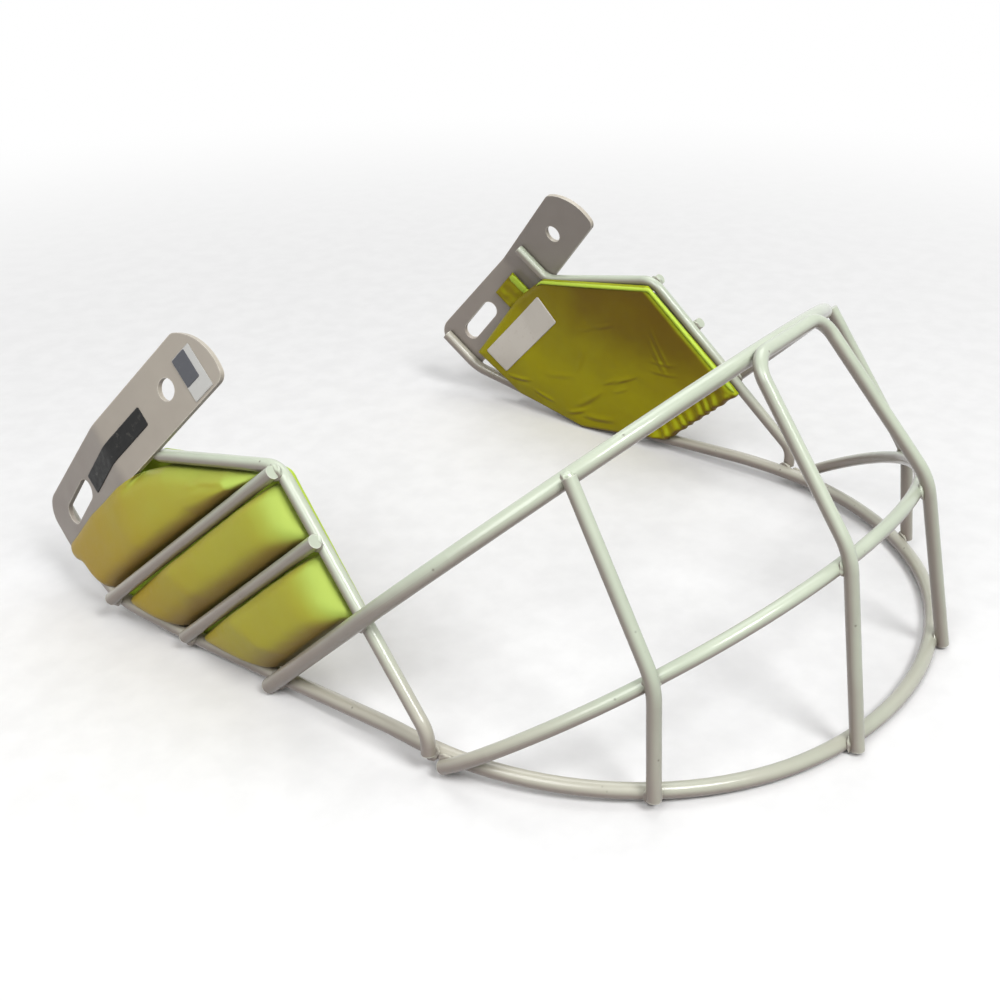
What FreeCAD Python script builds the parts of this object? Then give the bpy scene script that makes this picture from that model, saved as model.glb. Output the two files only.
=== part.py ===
import FreeCAD, Part
import math
import os
import Sketcher
from FreeCAD import Placement, Rotation, Vector

# Cricket helmet face guard: a welded wire grille between two slotted side plates,
# with a three-lobed foam pad on each cheek. Millimetres, +Z up, +Y forward,
# +X to the wearer's right. The guard stands on its chin rod and on the feet of
# the centre loop, with the origin under the middle of it.

os.makedirs("parts", exist_ok=True)
doc = FreeCAD.newDocument("face_guard")

driving_sizes = [
    # side plate, a bent steel strip with a round hole and a long slot
    ("plate_width", 21.2),
    ("plate_thickness", 1.6),
    ("plate_hole_diameter", 6.6),
    ("plate_crown_above_hole", 20.4),
    ("plate_crown_radius", 18.0),
    ("plate_crown_forward", 4.5),
    ("plate_top_corner_radius", 3.2),
    ("plate_front_foot_radius", 4.0),
    ("plate_rear_foot_radius", 7.0),
    ("plate_bend_below_hole", 32.0),
    ("plate_bend_angle", 16.0),
    ("plate_bend_radius", 12.0),
    ("plate_outer_bend_radius", 13.6),
    ("plate_foot_flare", 2.0),
    ("slot_below_bend", 30.5),
    ("slot_length", 21.6),
    ("slot_width", 7.0),
    ("slot_behind_middle", 1.4),
    ("chin_rod_below_bend", 47.6),
    ("plate_foot_below_bend", 51.4),
    ("plate_rod_end_inset", 2.2),
    # where the round hole stands and how the plate leans
    ("hole_half_spacing", 94.8),
    ("hole_behind", 65.5),
    ("hole_height", 79.9),
    ("plate_yaw_angle", 3.9),
    ("plate_camber_angle", 15.5),
    ("plate_rake_angle", 41.1),
    # wire stock and welds
    ("brow_diameter", 4.8),
    ("chin_diameter", 4.4),
    ("wire_diameter", 4.0),
    ("weld_setdown", 0.4),
    ("wire_bend_radius", 8.0),
    # chin rod: cheek run, then a flat bow that dips slightly to the front
    ("chin_outset", 7.0),
    ("chin_front_reach", 123.3),
    ("chin_front_height", 2.2),
    ("chin_front_flattening", 16.2),
    ("chin_corner_centre", 8.8),
    ("chin_front_dip_angle", 1.75),
    ("chin_rise_behind_corner", 9.0),
    ("chin_heel_outset", 10.6),
    ("chin_heel_behind", 92.0),
    ("chin_heel_height", 6.9),
    ("chin_low_outset", 7.4),
    ("chin_low_behind", 60.0),
    ("chin_low_height", 2.8),
    ("chin_plate_bend_radius", 24.0),
    ("chin_heel_radius", 45.0),
    ("chin_low_radius", 120.0),
    # cheek front rod
    ("front_rod_on_plate", 19.2),
    ("front_bend_outset", 1.1),
    ("front_bend_behind", 21.3),
    ("front_bend_height", 69.2),
    ("front_foot_forward", 35.9),
    ("front_foot_bend_height", 12.6),
    ("front_foot_above_chin_axis", 0.3),
    # bow bars
    ("brow_front_reach", 73.6),
    ("brow_front_height", 97.1),
    ("brow_front_flattening", 9.2),
    ("brow_corner_centre", 45.8),
    ("brow_tail_behind", 23.4),
    ("brow_tail_height", 2.1),
    ("brow_setdown", 1.0),
    ("middle_front_reach", 112.0),
    ("middle_front_height", 53.1),
    ("middle_corner_centre", 60.6),
    ("middle_tail_forward", 40.2),
    ("middle_tail_height", 3.4),
    ("middle_tail_straight", 0.8),
    # cheek bars, outside the front rod and the chin rod
    ("upper_bar_nose_behind", 20.8),
    ("upper_bar_tail_behind", 89.0),
    ("upper_bar_tail_height", 8.4),
    ("lower_bar_nose_behind", 5.3),
    ("lower_bar_tail_behind", 58.6),
    ("lower_bar_tail_height", 5.0),
    ("upper_bar_nose_overhang", 0.8),
    ("lower_bar_nose_overhang", 2.4),
    # side uprights and centre loop, outside the bow bars
    ("upright_top_half_width", 72.4),
    ("upright_waist_half_width", 77.6),
    ("upright_foot_half_width", 80.0),
    ("upright_top_overhang", 0.8),
    ("upright_foot_height", 3.4),
    ("loop_top_half_width", 20.0),
    ("loop_waist_half_width", 26.0),
    ("loop_waist_rise", 4.0),
    ("loop_foot_height", 1.4),
    ("loop_foot_half_width", 30.2),
    ("loop_corner_radius", 7.5),
    ("loop_waist_bend_radius", 22.0),
    # cheek pad
    ("backing_thickness", 3.0),
    ("backing_front_lap", -1.2),
    ("backing_top_lap", -1.0),
    ("backing_off_plate", 4.4),
    ("hem_below_brow_axis", 3.0),
    ("hem_heel_past_brow_tail", 1.0),
    ("hem_heel_forward", 8.0),
    ("backing_inside_chin", 2.6),
    ("pad_clearance", 0.3),
    ("lobe_side_gap", 0.5),
    ("lobe_rise", 2.0),
    ("lobe_shoulder_radius", 4.5),
    ("lobe_crown_height", 1.0),
    ("lobe_draw", 0.8),
    ("lobe_over_chin", 1.0),
    ("lobe_nose_length", 8.0),
    ("lobe_heel_length", 10.0),
    ("lobe_end_drop", 4.5),
    ("lobe_slope_share", 0.62),
    ("lobe_past_chin", -1.0),
    ("upper_lobe_past_chin", 4.5),
    ("upper_lobe_over_plate", 3.4),
    ("tab_width", 13.0),
    ("tab_reach", 16.5),
    ("tab_thickness", 2.0),
    ("tab_below_bend", 0.8),
]

sheet = doc.addObject("Spreadsheet::Sheet", "sizes")
for row, (name, value) in enumerate(driving_sizes, start=1):
    sheet.set("A%d" % row, name)
    sheet.set("B%d" % row, "%g" % value)
    sheet.setAlias("B%d" % row, name)
doc.recompute()


def size(name):
    return float(sheet.get(name))


# Wire paths

def unit(vector):
    return vector * (1.0 / vector.Length)


def mirrored(point):
    return Vector(-point.x, point.y, point.z)


def arc_through(start, middle, end):
    return Part.Arc(start, middle, end).toShape()


def rounded_curves(points, radii):
    """Straight runs through the points, joined by tangent arcs at the inner ones."""
    curves = []
    start = points[0]
    for before, corner, after, radius in zip(points, points[1:], points[2:], radii):
        back = unit(before - corner)
        ahead = unit(after - corner)
        half = back.getAngle(ahead) / 2
        reach = radius / math.tan(half)
        entry = corner + back * reach
        exit_point = corner + ahead * reach
        toward_centre = unit(back + ahead)
        crown = corner + toward_centre * (radius / math.sin(half) - radius)
        curves.append(Part.LineSegment(start, entry))
        curves.append(Part.Arc(entry, crown, exit_point))
        start = exit_point
    curves.append(Part.LineSegment(start, points[-1]))
    return curves


def rounded_run(points, radii):
    return [curve.toShape() for curve in rounded_curves(points, radii)]


class Bow:
    """Front of a bar bent to two radii: a front arc and a tighter arc at each corner,
    in a plane that slopes up towards the front. Depth is measured back from the nose.
    The corner arcs are centred at corner_x, and the front arc's radius is the half width
    and the flattening."""

    def __init__(self, half_width, nose, back, corner_x, flattening):
        self.half_width = half_width
        self.nose = nose
        self.back = back
        self.corner_x = corner_x
        self.corner_radius = half_width - corner_x
        self.front_radius = half_width + flattening
        spare = flattening + corner_x
        self.corner_depth = self.front_radius - math.sqrt(spare ** 2 - corner_x ** 2)
        self.turn = math.asin(corner_x / spare)
        self.joint_x = self.front_radius * math.sin(self.turn)

    def place(self, x, depth):
        return self.nose + Vector(x, 0, 0) + self.back * depth

    def depth_at(self, x):
        if x <= self.joint_x:
            return self.front_radius - math.sqrt(self.front_radius ** 2 - x ** 2)
        inner = x - self.corner_x
        return self.corner_depth - math.sqrt(self.corner_radius ** 2 - inner ** 2)

    def point(self, x):
        return self.place(x, self.depth_at(x))

    def tangent(self, x):
        if x <= self.joint_x:
            angle = math.asin(x / self.front_radius)
        else:
            angle = math.asin((x - self.corner_x) / self.corner_radius)
        return Vector(math.cos(angle), 0, 0) + self.back * math.sin(angle)

    def side(self):
        return self.place(self.half_width, self.corner_depth)

    def half_width_at(self, forward):
        """Half width of the corner arc at a place forward, or of the side behind it."""
        depth = (forward - self.nose.y) / self.back.y
        ahead = max(0.0, self.corner_depth - depth)
        ahead = min(ahead, self.corner_radius)
        return self.corner_x + math.sqrt(self.corner_radius ** 2 - ahead ** 2)

    def arcs(self):
        """Arcs from the right side round the nose to the left side."""
        middle_angle = (self.turn + math.pi / 2) / 2
        middle_x = self.corner_x + self.corner_radius * math.sin(middle_angle)
        stops = [self.half_width, middle_x, self.joint_x]
        right = [self.side(), self.point(middle_x), self.point(self.joint_x)]
        left = [mirrored(p) for p in reversed(right)]
        return [
            arc_through(*right),
            arc_through(right[2], self.nose, left[0]),
            arc_through(*left),
        ]


def wire_path(name, edges):
    path = doc.addObject("Part::Feature", name + "_path")
    path.Shape = Part.Wire(edges)
    return path


def swept_rod(name, path, diameter_size):
    """A round rod along the path, its radius bound to a size of the sheet."""
    first = path.Shape.OrderedEdges[0]
    start = first.valueAt(first.FirstParameter)
    heading = first.tangentAt(first.FirstParameter)
    if first.Orientation == "Reversed":
        start = first.valueAt(first.LastParameter)
        heading = first.tangentAt(first.LastParameter) * -1
    section = doc.addObject("Part::Circle", name + "_section")
    section.setExpression("Radius", "sizes.%s / 2" % diameter_size)
    section.Placement = Placement(start, Rotation(Vector(0, 0, 1), heading))
    rod = doc.addObject("Part::Sweep", name + "_run")
    rod.Sections = [section]
    rod.Spine = (path, ["Edge%d" % (i + 1) for i in range(len(path.Shape.Edges))])
    rod.Solid = True
    rod.Frenet = False
    return rod


def seated(name, blank, carriers):
    """The blank with a seat cut where it is welded on each carrier."""
    piece = blank
    for number, carrier in enumerate(carriers, start=1):
        cut = doc.addObject("Part::Cut", "%s_seat_%d" % (name, number))
        cut.Base = piece
        cut.Tool = carrier
        piece = cut
    return named(name, piece)


finished = []


def named(name, piece):
    piece.Label = name
    finished.append(piece)
    return piece


def left_hand(name, source):
    twin = doc.addObject("Part::Mirroring", name)
    twin.Source = source
    twin.Normal = Vector(1, 0, 0)
    return named(name, twin)


# Side plate

def origin_plane(body, role):
    for feature in body.Origin.OriginFeatures:
        if feature.Role == role:
            return feature


def sketch_on(body, name, role):
    sketch = body.newObject("Sketcher::SketchObject", name)
    sketch.AttachmentSupport = (origin_plane(body, role), [""])
    sketch.MapMode = "FlatFace"
    return sketch


def closed_outline(sketch, points):
    for start, end in zip(points, points[1:] + points[:1]):
        sketch.addGeometry(Part.LineSegment(start, end), False)


plate_place = Placement(
    Vector(size("hole_half_spacing"), -size("hole_behind"), size("hole_height")),
    Rotation(size("plate_yaw_angle"), -size("plate_camber_angle"), -size("plate_rake_angle")),
)
half_plate = size("plate_width") / 2
bend_angle = math.radians(size("plate_bend_angle"))
bend_point = Vector(0, 0, -size("plate_bend_below_hole"))
foot_down = Vector(-math.sin(bend_angle), 0, -math.cos(bend_angle))
foot_out = Vector(math.cos(bend_angle), 0, -math.sin(bend_angle))


def foot_point(below_bend, forward, outward):
    """A point on the lower leg of the plate, below its bend, in the plate's own frame."""
    return bend_point + foot_down * below_bend + foot_out * outward + Vector(0, forward, 0)


def pocket_through(body, name, sketch):
    pocket = body.newObject("PartDesign::Pocket", name)
    pocket.Profile = sketch
    pocket.Type = 1
    pocket.Midplane = True
    doc.recompute()
    return pocket


def round_edges(body, name, base, edges, radius_size):
    rounding = body.newObject("PartDesign::Fillet", name)
    rounding.Base = (base, edges)
    rounding.setExpression("Radius", "sizes." + radius_size)
    doc.recompute()
    return rounding


def edges_near(shape, spots, reach):
    """Names of the edges whose middle lies near one of the places in the plate's width and height."""
    names = []
    for index, edge in enumerate(shape.Edges, start=1):
        middle = edge.CenterOfMass
        for spot in spots:
            if abs(middle.y - spot.x) < reach and abs(middle.z - spot.y) < reach:
                names.append("Edge%d" % index)
    return names


def make_side_plate():
    body = doc.addObject("PartDesign::Body", "plate_body")
    thickness = size("plate_thickness")
    half = thickness / 2
    above = 2 * size("plate_crown_above_hole") + size("plate_bend_below_hole")
    below = size("plate_foot_below_bend") + size("plate_width")
    wide = 3 * size("plate_width")

    profile = sketch_on(body, "plate_profile", "XZ_Plane")
    miter = half * math.tan(bend_angle / 2)
    bend = Vector(0, bend_point.z, 0)
    down = Vector(foot_down.x, foot_down.z, 0) * below
    out = Vector(foot_out.x, foot_out.z, 0) * half
    closed_outline(profile, [
        bend + Vector(half, above, 0),
        bend + Vector(-half, above, 0),
        bend + Vector(-half, miter, 0),
        bend + down - out,
        bend + down + out,
        bend + Vector(half, -miter, 0),
    ])
    pad = body.newObject("PartDesign::Pad", "bent_strip")
    pad.Profile = profile
    pad.Midplane = True
    pad.Length = 2 * wide
    doc.recompute()

    outline = sketch_on(body, "plate_outline", "YZ_Plane")
    crown_y = size("plate_crown_forward")
    crown_radius = size("plate_crown_radius")
    crown_z = size("plate_crown_above_hole") - crown_radius
    rear_z = crown_z + math.sqrt(crown_radius ** 2 - (half_plate + crown_y) ** 2)
    front_z = crown_z + math.sqrt(crown_radius ** 2 - (half_plate - crown_y) ** 2)
    foot_z = bend_point.z - size("plate_foot_below_bend") * math.cos(bend_angle)
    rear_top = Vector(-half_plate, rear_z, 0)
    front_top = Vector(half_plate, front_z, 0)
    crown = Vector(crown_y, crown_z + crown_radius, 0)
    rear_bend = Vector(-half_plate, bend_point.z, 0)
    rear_foot = Vector(-half_plate - size("plate_foot_flare"), foot_z, 0)
    front_foot = Vector(half_plate, foot_z, 0)
    outline.addGeometry(Part.Arc(rear_top, crown, front_top), False)
    foot_radii = [
        size("plate_front_foot_radius"), size("plate_rear_foot_radius"), size("plate_bend_radius"),
    ]
    for curve in rounded_curves([front_top, front_foot, rear_foot, rear_bend, rear_top], foot_radii):
        outline.addGeometry(curve, False)
    closed_outline(outline, [
        Vector(-wide, above, 0), Vector(wide, above, 0),
        Vector(wide, -above - below, 0), Vector(-wide, -above - below, 0),
    ])
    pocket_through(body, "plate_trim", outline)

    hole = sketch_on(body, "hole_outline", "YZ_Plane")
    hole.addGeometry(Part.Circle(Vector(0, 0, 0), Vector(0, 0, 1), size("plate_hole_diameter") / 2))
    hole.addConstraint(Sketcher.Constraint("Coincident", 0, 3, -1, 1))
    number = hole.addConstraint(Sketcher.Constraint("Diameter", 0, size("plate_hole_diameter")))
    hole.setExpression("Constraints[%d]" % number, "sizes.plate_hole_diameter")
    pocket_through(body, "round_hole", hole)

    slot = sketch_on(body, "slot_outline", "YZ_Plane")
    slot_middle = bend_point.z - size("slot_below_bend") * math.cos(bend_angle)
    side = size("slot_width") / 2
    shift = size("slot_behind_middle")
    half_length = size("slot_length") / 2 * math.cos(bend_angle)
    straight = half_length - side
    for sign in (1, -1):
        slot.addGeometry(Part.Arc(
            Vector(sign * side - shift, slot_middle + sign * straight, 0),
            Vector(-shift, slot_middle + sign * half_length, 0),
            Vector(-sign * side - shift, slot_middle + sign * straight, 0),
        ), False)
        slot.addGeometry(Part.LineSegment(
            Vector(-sign * side - shift, slot_middle + sign * straight, 0),
            Vector(-sign * side - shift, slot_middle - sign * straight, 0),
        ), False)
    last = pocket_through(body, "long_slot", slot)

    top_edges = edges_near(last.Shape, [rear_top, front_top], thickness)
    last = round_edges(body, "top_corners", last, top_edges, "plate_top_corner_radius")
    for name, sign, radius_size in [
        ("bend_inside", -1, "plate_bend_radius"), ("bend_outside", 1, "plate_outer_bend_radius"),
    ]:
        crease = Vector(sign * half, 0, bend_point.z - sign * miter)
        picked = []
        for index, edge in enumerate(last.Shape.Edges, start=1):
            middle = edge.CenterOfMass
            if math.hypot(middle.x - crease.x, middle.z - crease.z) < half and edge.Length > half_plate:
                picked.append("Edge%d" % index)
        last = round_edges(body, name, last, picked, radius_size)
    body.Tip = last
    body.Placement = plate_place
    return named("side_plate_right", body)


side_plate_right = make_side_plate()
side_plate_left = left_hand("side_plate_left", side_plate_right)


# Chin rod, front rods and bow bars

weld = size("weld_setdown")
wire_radius = size("wire_diameter") / 2
chin_radius = size("chin_diameter") / 2
brow_radius = size("brow_diameter") / 2
plate_seat = size("plate_thickness") / 2 - weld


def on_plate(point):
    return plate_place.multVec(point)


rod_end = half_plate - size("plate_rod_end_inset")
chin_on_plate = [
    on_plate(foot_point(size("chin_rod_below_bend"), side, -(plate_seat + chin_radius)))
    for side in (-rod_end, half_plate)
]
hole_x = size("hole_half_spacing")
chin_half_width = hole_x + size("chin_outset")
chin_dip = math.radians(size("chin_front_dip_angle"))
chin_bow = Bow(
    chin_half_width,
    Vector(0, size("chin_front_reach"), size("chin_front_height")),
    Vector(0, -math.cos(chin_dip), math.sin(chin_dip)),
    size("chin_corner_centre"), size("chin_front_flattening"),
)
chin_heel = Vector(hole_x + size("chin_heel_outset"), -size("chin_heel_behind"), size("chin_heel_height"))
chin_low = Vector(hole_x + size("chin_low_outset"), -size("chin_low_behind"), size("chin_low_height"))
chin_rise = chin_bow.place(
    chin_half_width, chin_bow.corner_depth + size("chin_rise_behind_corner")
)
chin_cheek_points = chin_on_plate + [chin_heel, chin_low, chin_rise, chin_bow.side()]
chin_cheek_radii = [
    size("chin_plate_bend_radius"), size("chin_heel_radius"),
    size("chin_low_radius"), size("chin_low_radius"),
]
chin_right = rounded_run(chin_cheek_points, chin_cheek_radii)
chin_left = rounded_run([mirrored(p) for p in reversed(chin_cheek_points)], chin_cheek_radii[::-1])
chin_path = wire_path("chin_rod", chin_right + chin_bow.arcs() + chin_left)
chin_rod = seated(
    "chin_rod", swept_rod("chin_rod", chin_path, "chin_diameter"), [side_plate_right, side_plate_left]
)


def side_x_of_chin(forward):
    """Half width of the chin rod at a place on its cheek run or its corner."""
    if forward > chin_rise.y:
        return chin_bow.half_width_at(forward)
    share = (forward - chin_low.y) / (chin_rise.y - chin_low.y)
    return chin_low.x + (chin_rise.x - chin_low.x) * share


def height_of_chin(forward):
    share = (forward - chin_low.y) / (chin_rise.y - chin_low.y)
    return chin_low.z + (chin_rise.z - chin_low.z) * share


front_on_plate = [
    on_plate(Vector(-(plate_seat + wire_radius), side, -size("front_rod_on_plate")))
    for side in (-half_plate + size("plate_rod_end_inset") * 1.5, half_plate * 0.9)
]
front_bend = Vector(
    hole_x + size("front_bend_outset"), -size("front_bend_behind"), size("front_bend_height")
)
front_foot_y = size("front_foot_forward")
front_foot_x = side_x_of_chin(front_foot_y) + chin_radius + wire_radius - weld
front_foot_bend = Vector(front_foot_x, front_foot_y, size("front_foot_bend_height"))
front_foot = Vector(
    front_foot_x, front_foot_y, height_of_chin(front_foot_y) + size("front_foot_above_chin_axis")
)
front_points = front_on_plate + [front_bend, front_foot_bend, front_foot]
front_radii = [size("wire_bend_radius")] * 3
front_path = wire_path("cheek_front_rod", rounded_run(front_points, front_radii))
cheek_front_rod_right = seated(
    "cheek_front_rod_right",
    swept_rod("cheek_front_rod", front_path, "wire_diameter"),
    [side_plate_right, chin_rod],
)
cheek_front_rod_left = left_hand("cheek_front_rod_left", cheek_front_rod_right)


def front_rod_at_height(height):
    """Point on the long run of the cheek front rod."""
    share = (height - front_foot_bend.z) / (front_bend.z - front_foot_bend.z)
    return front_foot_bend + (front_bend - front_foot_bend) * share


def front_rod_at(forward):
    share = (forward - front_foot_bend.y) / (front_bend.y - front_foot_bend.y)
    return front_foot_bend + (front_bend - front_foot_bend) * share


def bow_bar(name, bow, straight, diameter_size, carriers):
    """A bow bar with straight tails that run back along its own slope."""
    tail = bow.place(bow.half_width, bow.corner_depth + straight)
    edges = [Part.LineSegment(tail, bow.side()).toShape()] + bow.arcs()
    edges.append(Part.LineSegment(mirrored(bow.side()), mirrored(tail)).toShape())
    path = wire_path(name, edges)
    return tail, seated(name, swept_rod(name, path, diameter_size), carriers)


brow_nose = Vector(0, size("brow_front_reach"), size("brow_front_height"))
brow_end = Vector(0, -size("brow_tail_behind"), size("brow_tail_height"))
brow_half_width = side_x_of_chin(brow_end.y) + chin_radius + brow_radius - size("brow_setdown")
brow_bow = Bow(
    brow_half_width, brow_nose, unit(brow_end - brow_nose),
    size("brow_corner_centre"), size("brow_front_flattening"),
)
brow_straight = (brow_end - brow_nose).Length - brow_bow.corner_depth
brow_tail, brow_bar = bow_bar(
    "brow_bar", brow_bow, brow_straight, "brow_diameter",
    [cheek_front_rod_right, cheek_front_rod_left, chin_rod],
)

# The middle bar's corner reaches almost to its tail, so its front arc follows from its depth
middle_nose = Vector(0, size("middle_front_reach"), size("middle_front_height"))
middle_end = Vector(0, size("middle_tail_forward"), size("middle_tail_height"))
middle_half_width = side_x_of_chin(middle_end.y) + chin_radius + wire_radius - weld
middle_straight = size("middle_tail_straight")
middle_depth = (middle_end - middle_nose).Length - middle_straight
middle_spare_width = middle_half_width - middle_depth
middle_flattening = middle_spare_width ** 2 / (2 * (size("middle_corner_centre") - middle_spare_width))
middle_bow = Bow(
    middle_half_width, middle_nose, unit(middle_end - middle_nose),
    size("middle_corner_centre"), middle_flattening,
)
middle_tail, middle_bar = bow_bar(
    "middle_bar", middle_bow, middle_straight, "wire_diameter",
    [chin_rod],
)


# Cheek bars

def cheek_bar(name, prefix):
    nose_on_rod = front_rod_at(-size(prefix + "_nose_behind"))
    outward = Vector(chin_radius + wire_radius - weld, 0, 0)
    nose = nose_on_rod + Vector(2 * wire_radius - weld, 0, 0)
    tail_y = -size(prefix + "_tail_behind")
    tail = Vector(chin_x_at(tail_y), tail_y, size(prefix + "_tail_height")) + outward
    heading = unit(nose - tail)
    tip = nose + heading * size(prefix + "_nose_overhang")
    bar = doc.addObject("Part::Cylinder", name + "_blank")
    bar.setExpression("Radius", "sizes.wire_diameter / 2")
    bar.Height = (tip - tail).Length
    bar.Placement = Placement(tail, Rotation(Vector(0, 0, 1), heading))
    return tail, tip, seated(name, bar, [cheek_front_rod_right, chin_rod])


def chin_x_at(forward):
    """Half width of the chin rod between its heel and its cheek run."""
    if forward >= chin_low.y:
        return side_x_of_chin(forward)
    share = (forward - chin_low.y) / (chin_heel.y - chin_low.y)
    return chin_low.x + (chin_heel.x - chin_low.x) * share


upper_tail, upper_tip, cheek_bar_upper_right = cheek_bar("cheek_bar_upper_right", "upper_bar")
lower_tail, lower_tip, cheek_bar_lower_right = cheek_bar("cheek_bar_lower_right", "lower_bar")
cheek_bar_upper_left = left_hand("cheek_bar_upper_left", cheek_bar_upper_right)
cheek_bar_lower_left = left_hand("cheek_bar_lower_left", cheek_bar_lower_right)


# Side uprights and centre loop

def outside(bow, x, run, distance):
    """Point that lies a distance outside the bow at half width x, square to it and to the run."""
    across = bow.tangent(x).cross(run)
    if across.y < 0:
        across = across * -1
    return bow.point(x) + unit(across) * distance


upright_run = chin_bow.point(size("upright_foot_half_width")) - brow_bow.point(size("upright_top_half_width"))
upright_top = outside(
    brow_bow, size("upright_top_half_width"), upright_run, brow_radius + wire_radius - weld
)
upright_waist = outside(
    middle_bow, size("upright_waist_half_width"), upright_run, 2 * wire_radius - weld
)
upright_seat = outside(
    chin_bow, size("upright_foot_half_width"), Vector(0, 0, -1), chin_radius + wire_radius - weld
)
upright_head = upright_top + unit(upright_top - upright_waist) * size("upright_top_overhang")
upright_foot = Vector(upright_seat.x, upright_seat.y, size("upright_foot_height"))
upright_path = wire_path(
    "side_upright",
    rounded_run([upright_head, upright_waist, upright_foot], [size("loop_waist_bend_radius")]),
)
side_upright_right = seated(
    "side_upright_right",
    swept_rod("side_upright", upright_path, "wire_diameter"),
    [brow_bar, middle_bar, chin_rod],
)
side_upright_left = left_hand("side_upright_left", side_upright_right)

loop_run = chin_bow.point(size("loop_foot_half_width")) - brow_bow.point(size("loop_top_half_width"))
loop_crown = outside(brow_bow, 0, loop_run, brow_radius + wire_radius - weld)
loop_top = Vector(size("loop_top_half_width"), loop_crown.y, loop_crown.z)
loop_shin = chin_bow.point(size("loop_foot_half_width")) - middle_bow.point(size("loop_waist_half_width"))
loop_waist = outside(middle_bow, size("loop_waist_half_width"), loop_shin, 2 * wire_radius - weld)
loop_seat = outside(
    chin_bow, size("loop_foot_half_width"), Vector(0, 0, -1), chin_radius + wire_radius - weld
)
loop_foot = Vector(loop_seat.x, loop_seat.y, size("loop_foot_height"))
loop_waist = loop_waist + unit(loop_waist - loop_foot) * size("loop_waist_rise")
loop_right = [loop_foot, loop_waist, loop_top]
loop_points = loop_right + [mirrored(p) for p in reversed(loop_right)]
loop_radii = [size("loop_waist_bend_radius"), size("loop_corner_radius")]
loop_path = wire_path("centre_loop", rounded_run(loop_points, loop_radii + loop_radii[::-1]))
centre_loop = seated(
    "centre_loop",
    swept_rod("centre_loop", loop_path, "wire_diameter"),
    [brow_bar, middle_bar, chin_rod],
)


# Cheek pad: the outer face of its backing is a flat plane just inside the cheek rods

front_run = unit(front_foot_bend - front_bend)
top_run = unit(front_bend - front_points[1])
rods_out = unit(front_run.cross(top_run))
if rods_out.x < 0:
    rods_out = rods_out * -1
inside_wire = rods_out * -(wire_radius + size("pad_clearance"))
inside_chin = Vector(-(chin_radius + size("pad_clearance")), 0, 0)
plane_top = front_bend + inside_wire
plane_low = front_rod_at(lower_tip.y) + inside_wire
chin_under_brow = Vector(side_x_of_chin(brow_tail.y), brow_tail.y, height_of_chin(brow_tail.y))
plane_heel = chin_under_brow + inside_chin
pad_out = unit((plane_low - plane_top).cross(plane_heel - plane_top))
if pad_out.x < 0:
    pad_out = pad_out * -1
bar_run = unit(upper_tip - upper_tail)
pad_along = unit(bar_run - pad_out * bar_run.dot(pad_out))
pad_down = pad_out.cross(pad_along)
if pad_down.z > 0:
    pad_down = pad_down * -1


def pad_local(point):
    """Along the bars to the front, down across them, and out of the backing's outer face."""
    offset = point - plane_top
    return Vector(offset.dot(pad_along), offset.dot(pad_down), offset.dot(pad_out))


def pad_point(along, down, out):
    return plane_top + pad_along * along + pad_down * down + pad_out * out


def line_down(start, end, along):
    """How far down a straight rod lies at a place along the bars."""
    first = pad_local(start)
    last = pad_local(end)
    return first.y + (last.y - first.y) * (along - first.x) / (last.x - first.x)


def line_along(start, end, down):
    first = pad_local(start)
    last = pad_local(end)
    return first.x + (last.x - first.x) * (down - first.y) / (last.y - first.y)


chin_cheek_wire = Part.Wire([edge.copy() for edge in chin_right])
chin_places = [pad_local(point) for point in chin_cheek_wire.discretize(200)]


def chin_along(down):
    """Where the chin rod's cheek run crosses a line parallel to the bars."""
    for before, after in zip(chin_places, chin_places[1:]):
        if (before.y - down) * (after.y - down) <= 0 and after.y > before.y:
            share = (down - before.y) / (after.y - before.y)
            return before.x + (after.x - before.x) * share
    return chin_places[-1].x


def section_of_backing(top, bottom):
    """Thin slanted strip through the backing, from its top edge to its bottom edge."""
    thickness = size("backing_thickness")
    corners = [
        pad_point(*top), pad_point(*bottom),
        pad_point(bottom[0], bottom[1], bottom[2] - thickness),
        pad_point(top[0], top[1], top[2] - thickness),
    ]
    return Part.makePolygon(corners + corners[:1])


rod_cover = wire_radius + size("pad_clearance")
chin_cover = chin_radius + size("pad_clearance")
top_corner = pad_local(front_bend)
back_corner = pad_local(front_points[1])
brow_heel = pad_local(brow_tail)
brow_front = pad_local(brow_bow.side())
heel = pad_local(chin_heel)
cheek = pad_local(chin_low)
chin_end = pad_local((chin_on_plate[0] + chin_on_plate[1]) * 0.5)
plate_knee = pad_local(on_plate(foot_point(0, half_plate, -size("plate_thickness") / 2)))
plate_toe = pad_local(on_plate(foot_point(size("plate_foot_below_bend"), half_plate, 0)))
front_lap = size("backing_front_lap")
top_lap = size("backing_top_lap")
hem_front = brow_front.y + size("hem_below_brow_axis")
hem_heel = brow_heel.y + size("hem_heel_past_brow_tail")
knee_share = 0.2
backing_tops = [
    (top_corner.x + front_lap, top_corner.y - top_lap, top_corner.z - rod_cover),
    (back_corner.x, back_corner.y - top_lap, back_corner.z - rod_cover),
    (
        plate_knee.x + (plate_toe.x - plate_knee.x) * knee_share,
        back_corner.y,
        plate_knee.z - size("backing_off_plate"),
    ),
    (chin_end.x, plate_toe.y - size("upper_lobe_over_plate"), chin_end.z - chin_cover),
]
backing_bottoms = [
    (line_along(front_bend, front_foot_bend, hem_front) + front_lap, hem_front, top_corner.z - rod_cover),
    (brow_heel.x + size("hem_heel_forward"), hem_heel, pad_local(chin_under_brow).z - chin_cover),
    (cheek.x + size("backing_inside_chin"), cheek.y, cheek.z - chin_cover),
    (heel.x + size("backing_inside_chin"), heel.y, heel.z - chin_cover),
]
backing_sections = [section_of_backing(t, b) for t, b in zip(backing_tops, backing_bottoms)]
backing_shape = Part.makeLoft(backing_sections, True, True)


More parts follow.
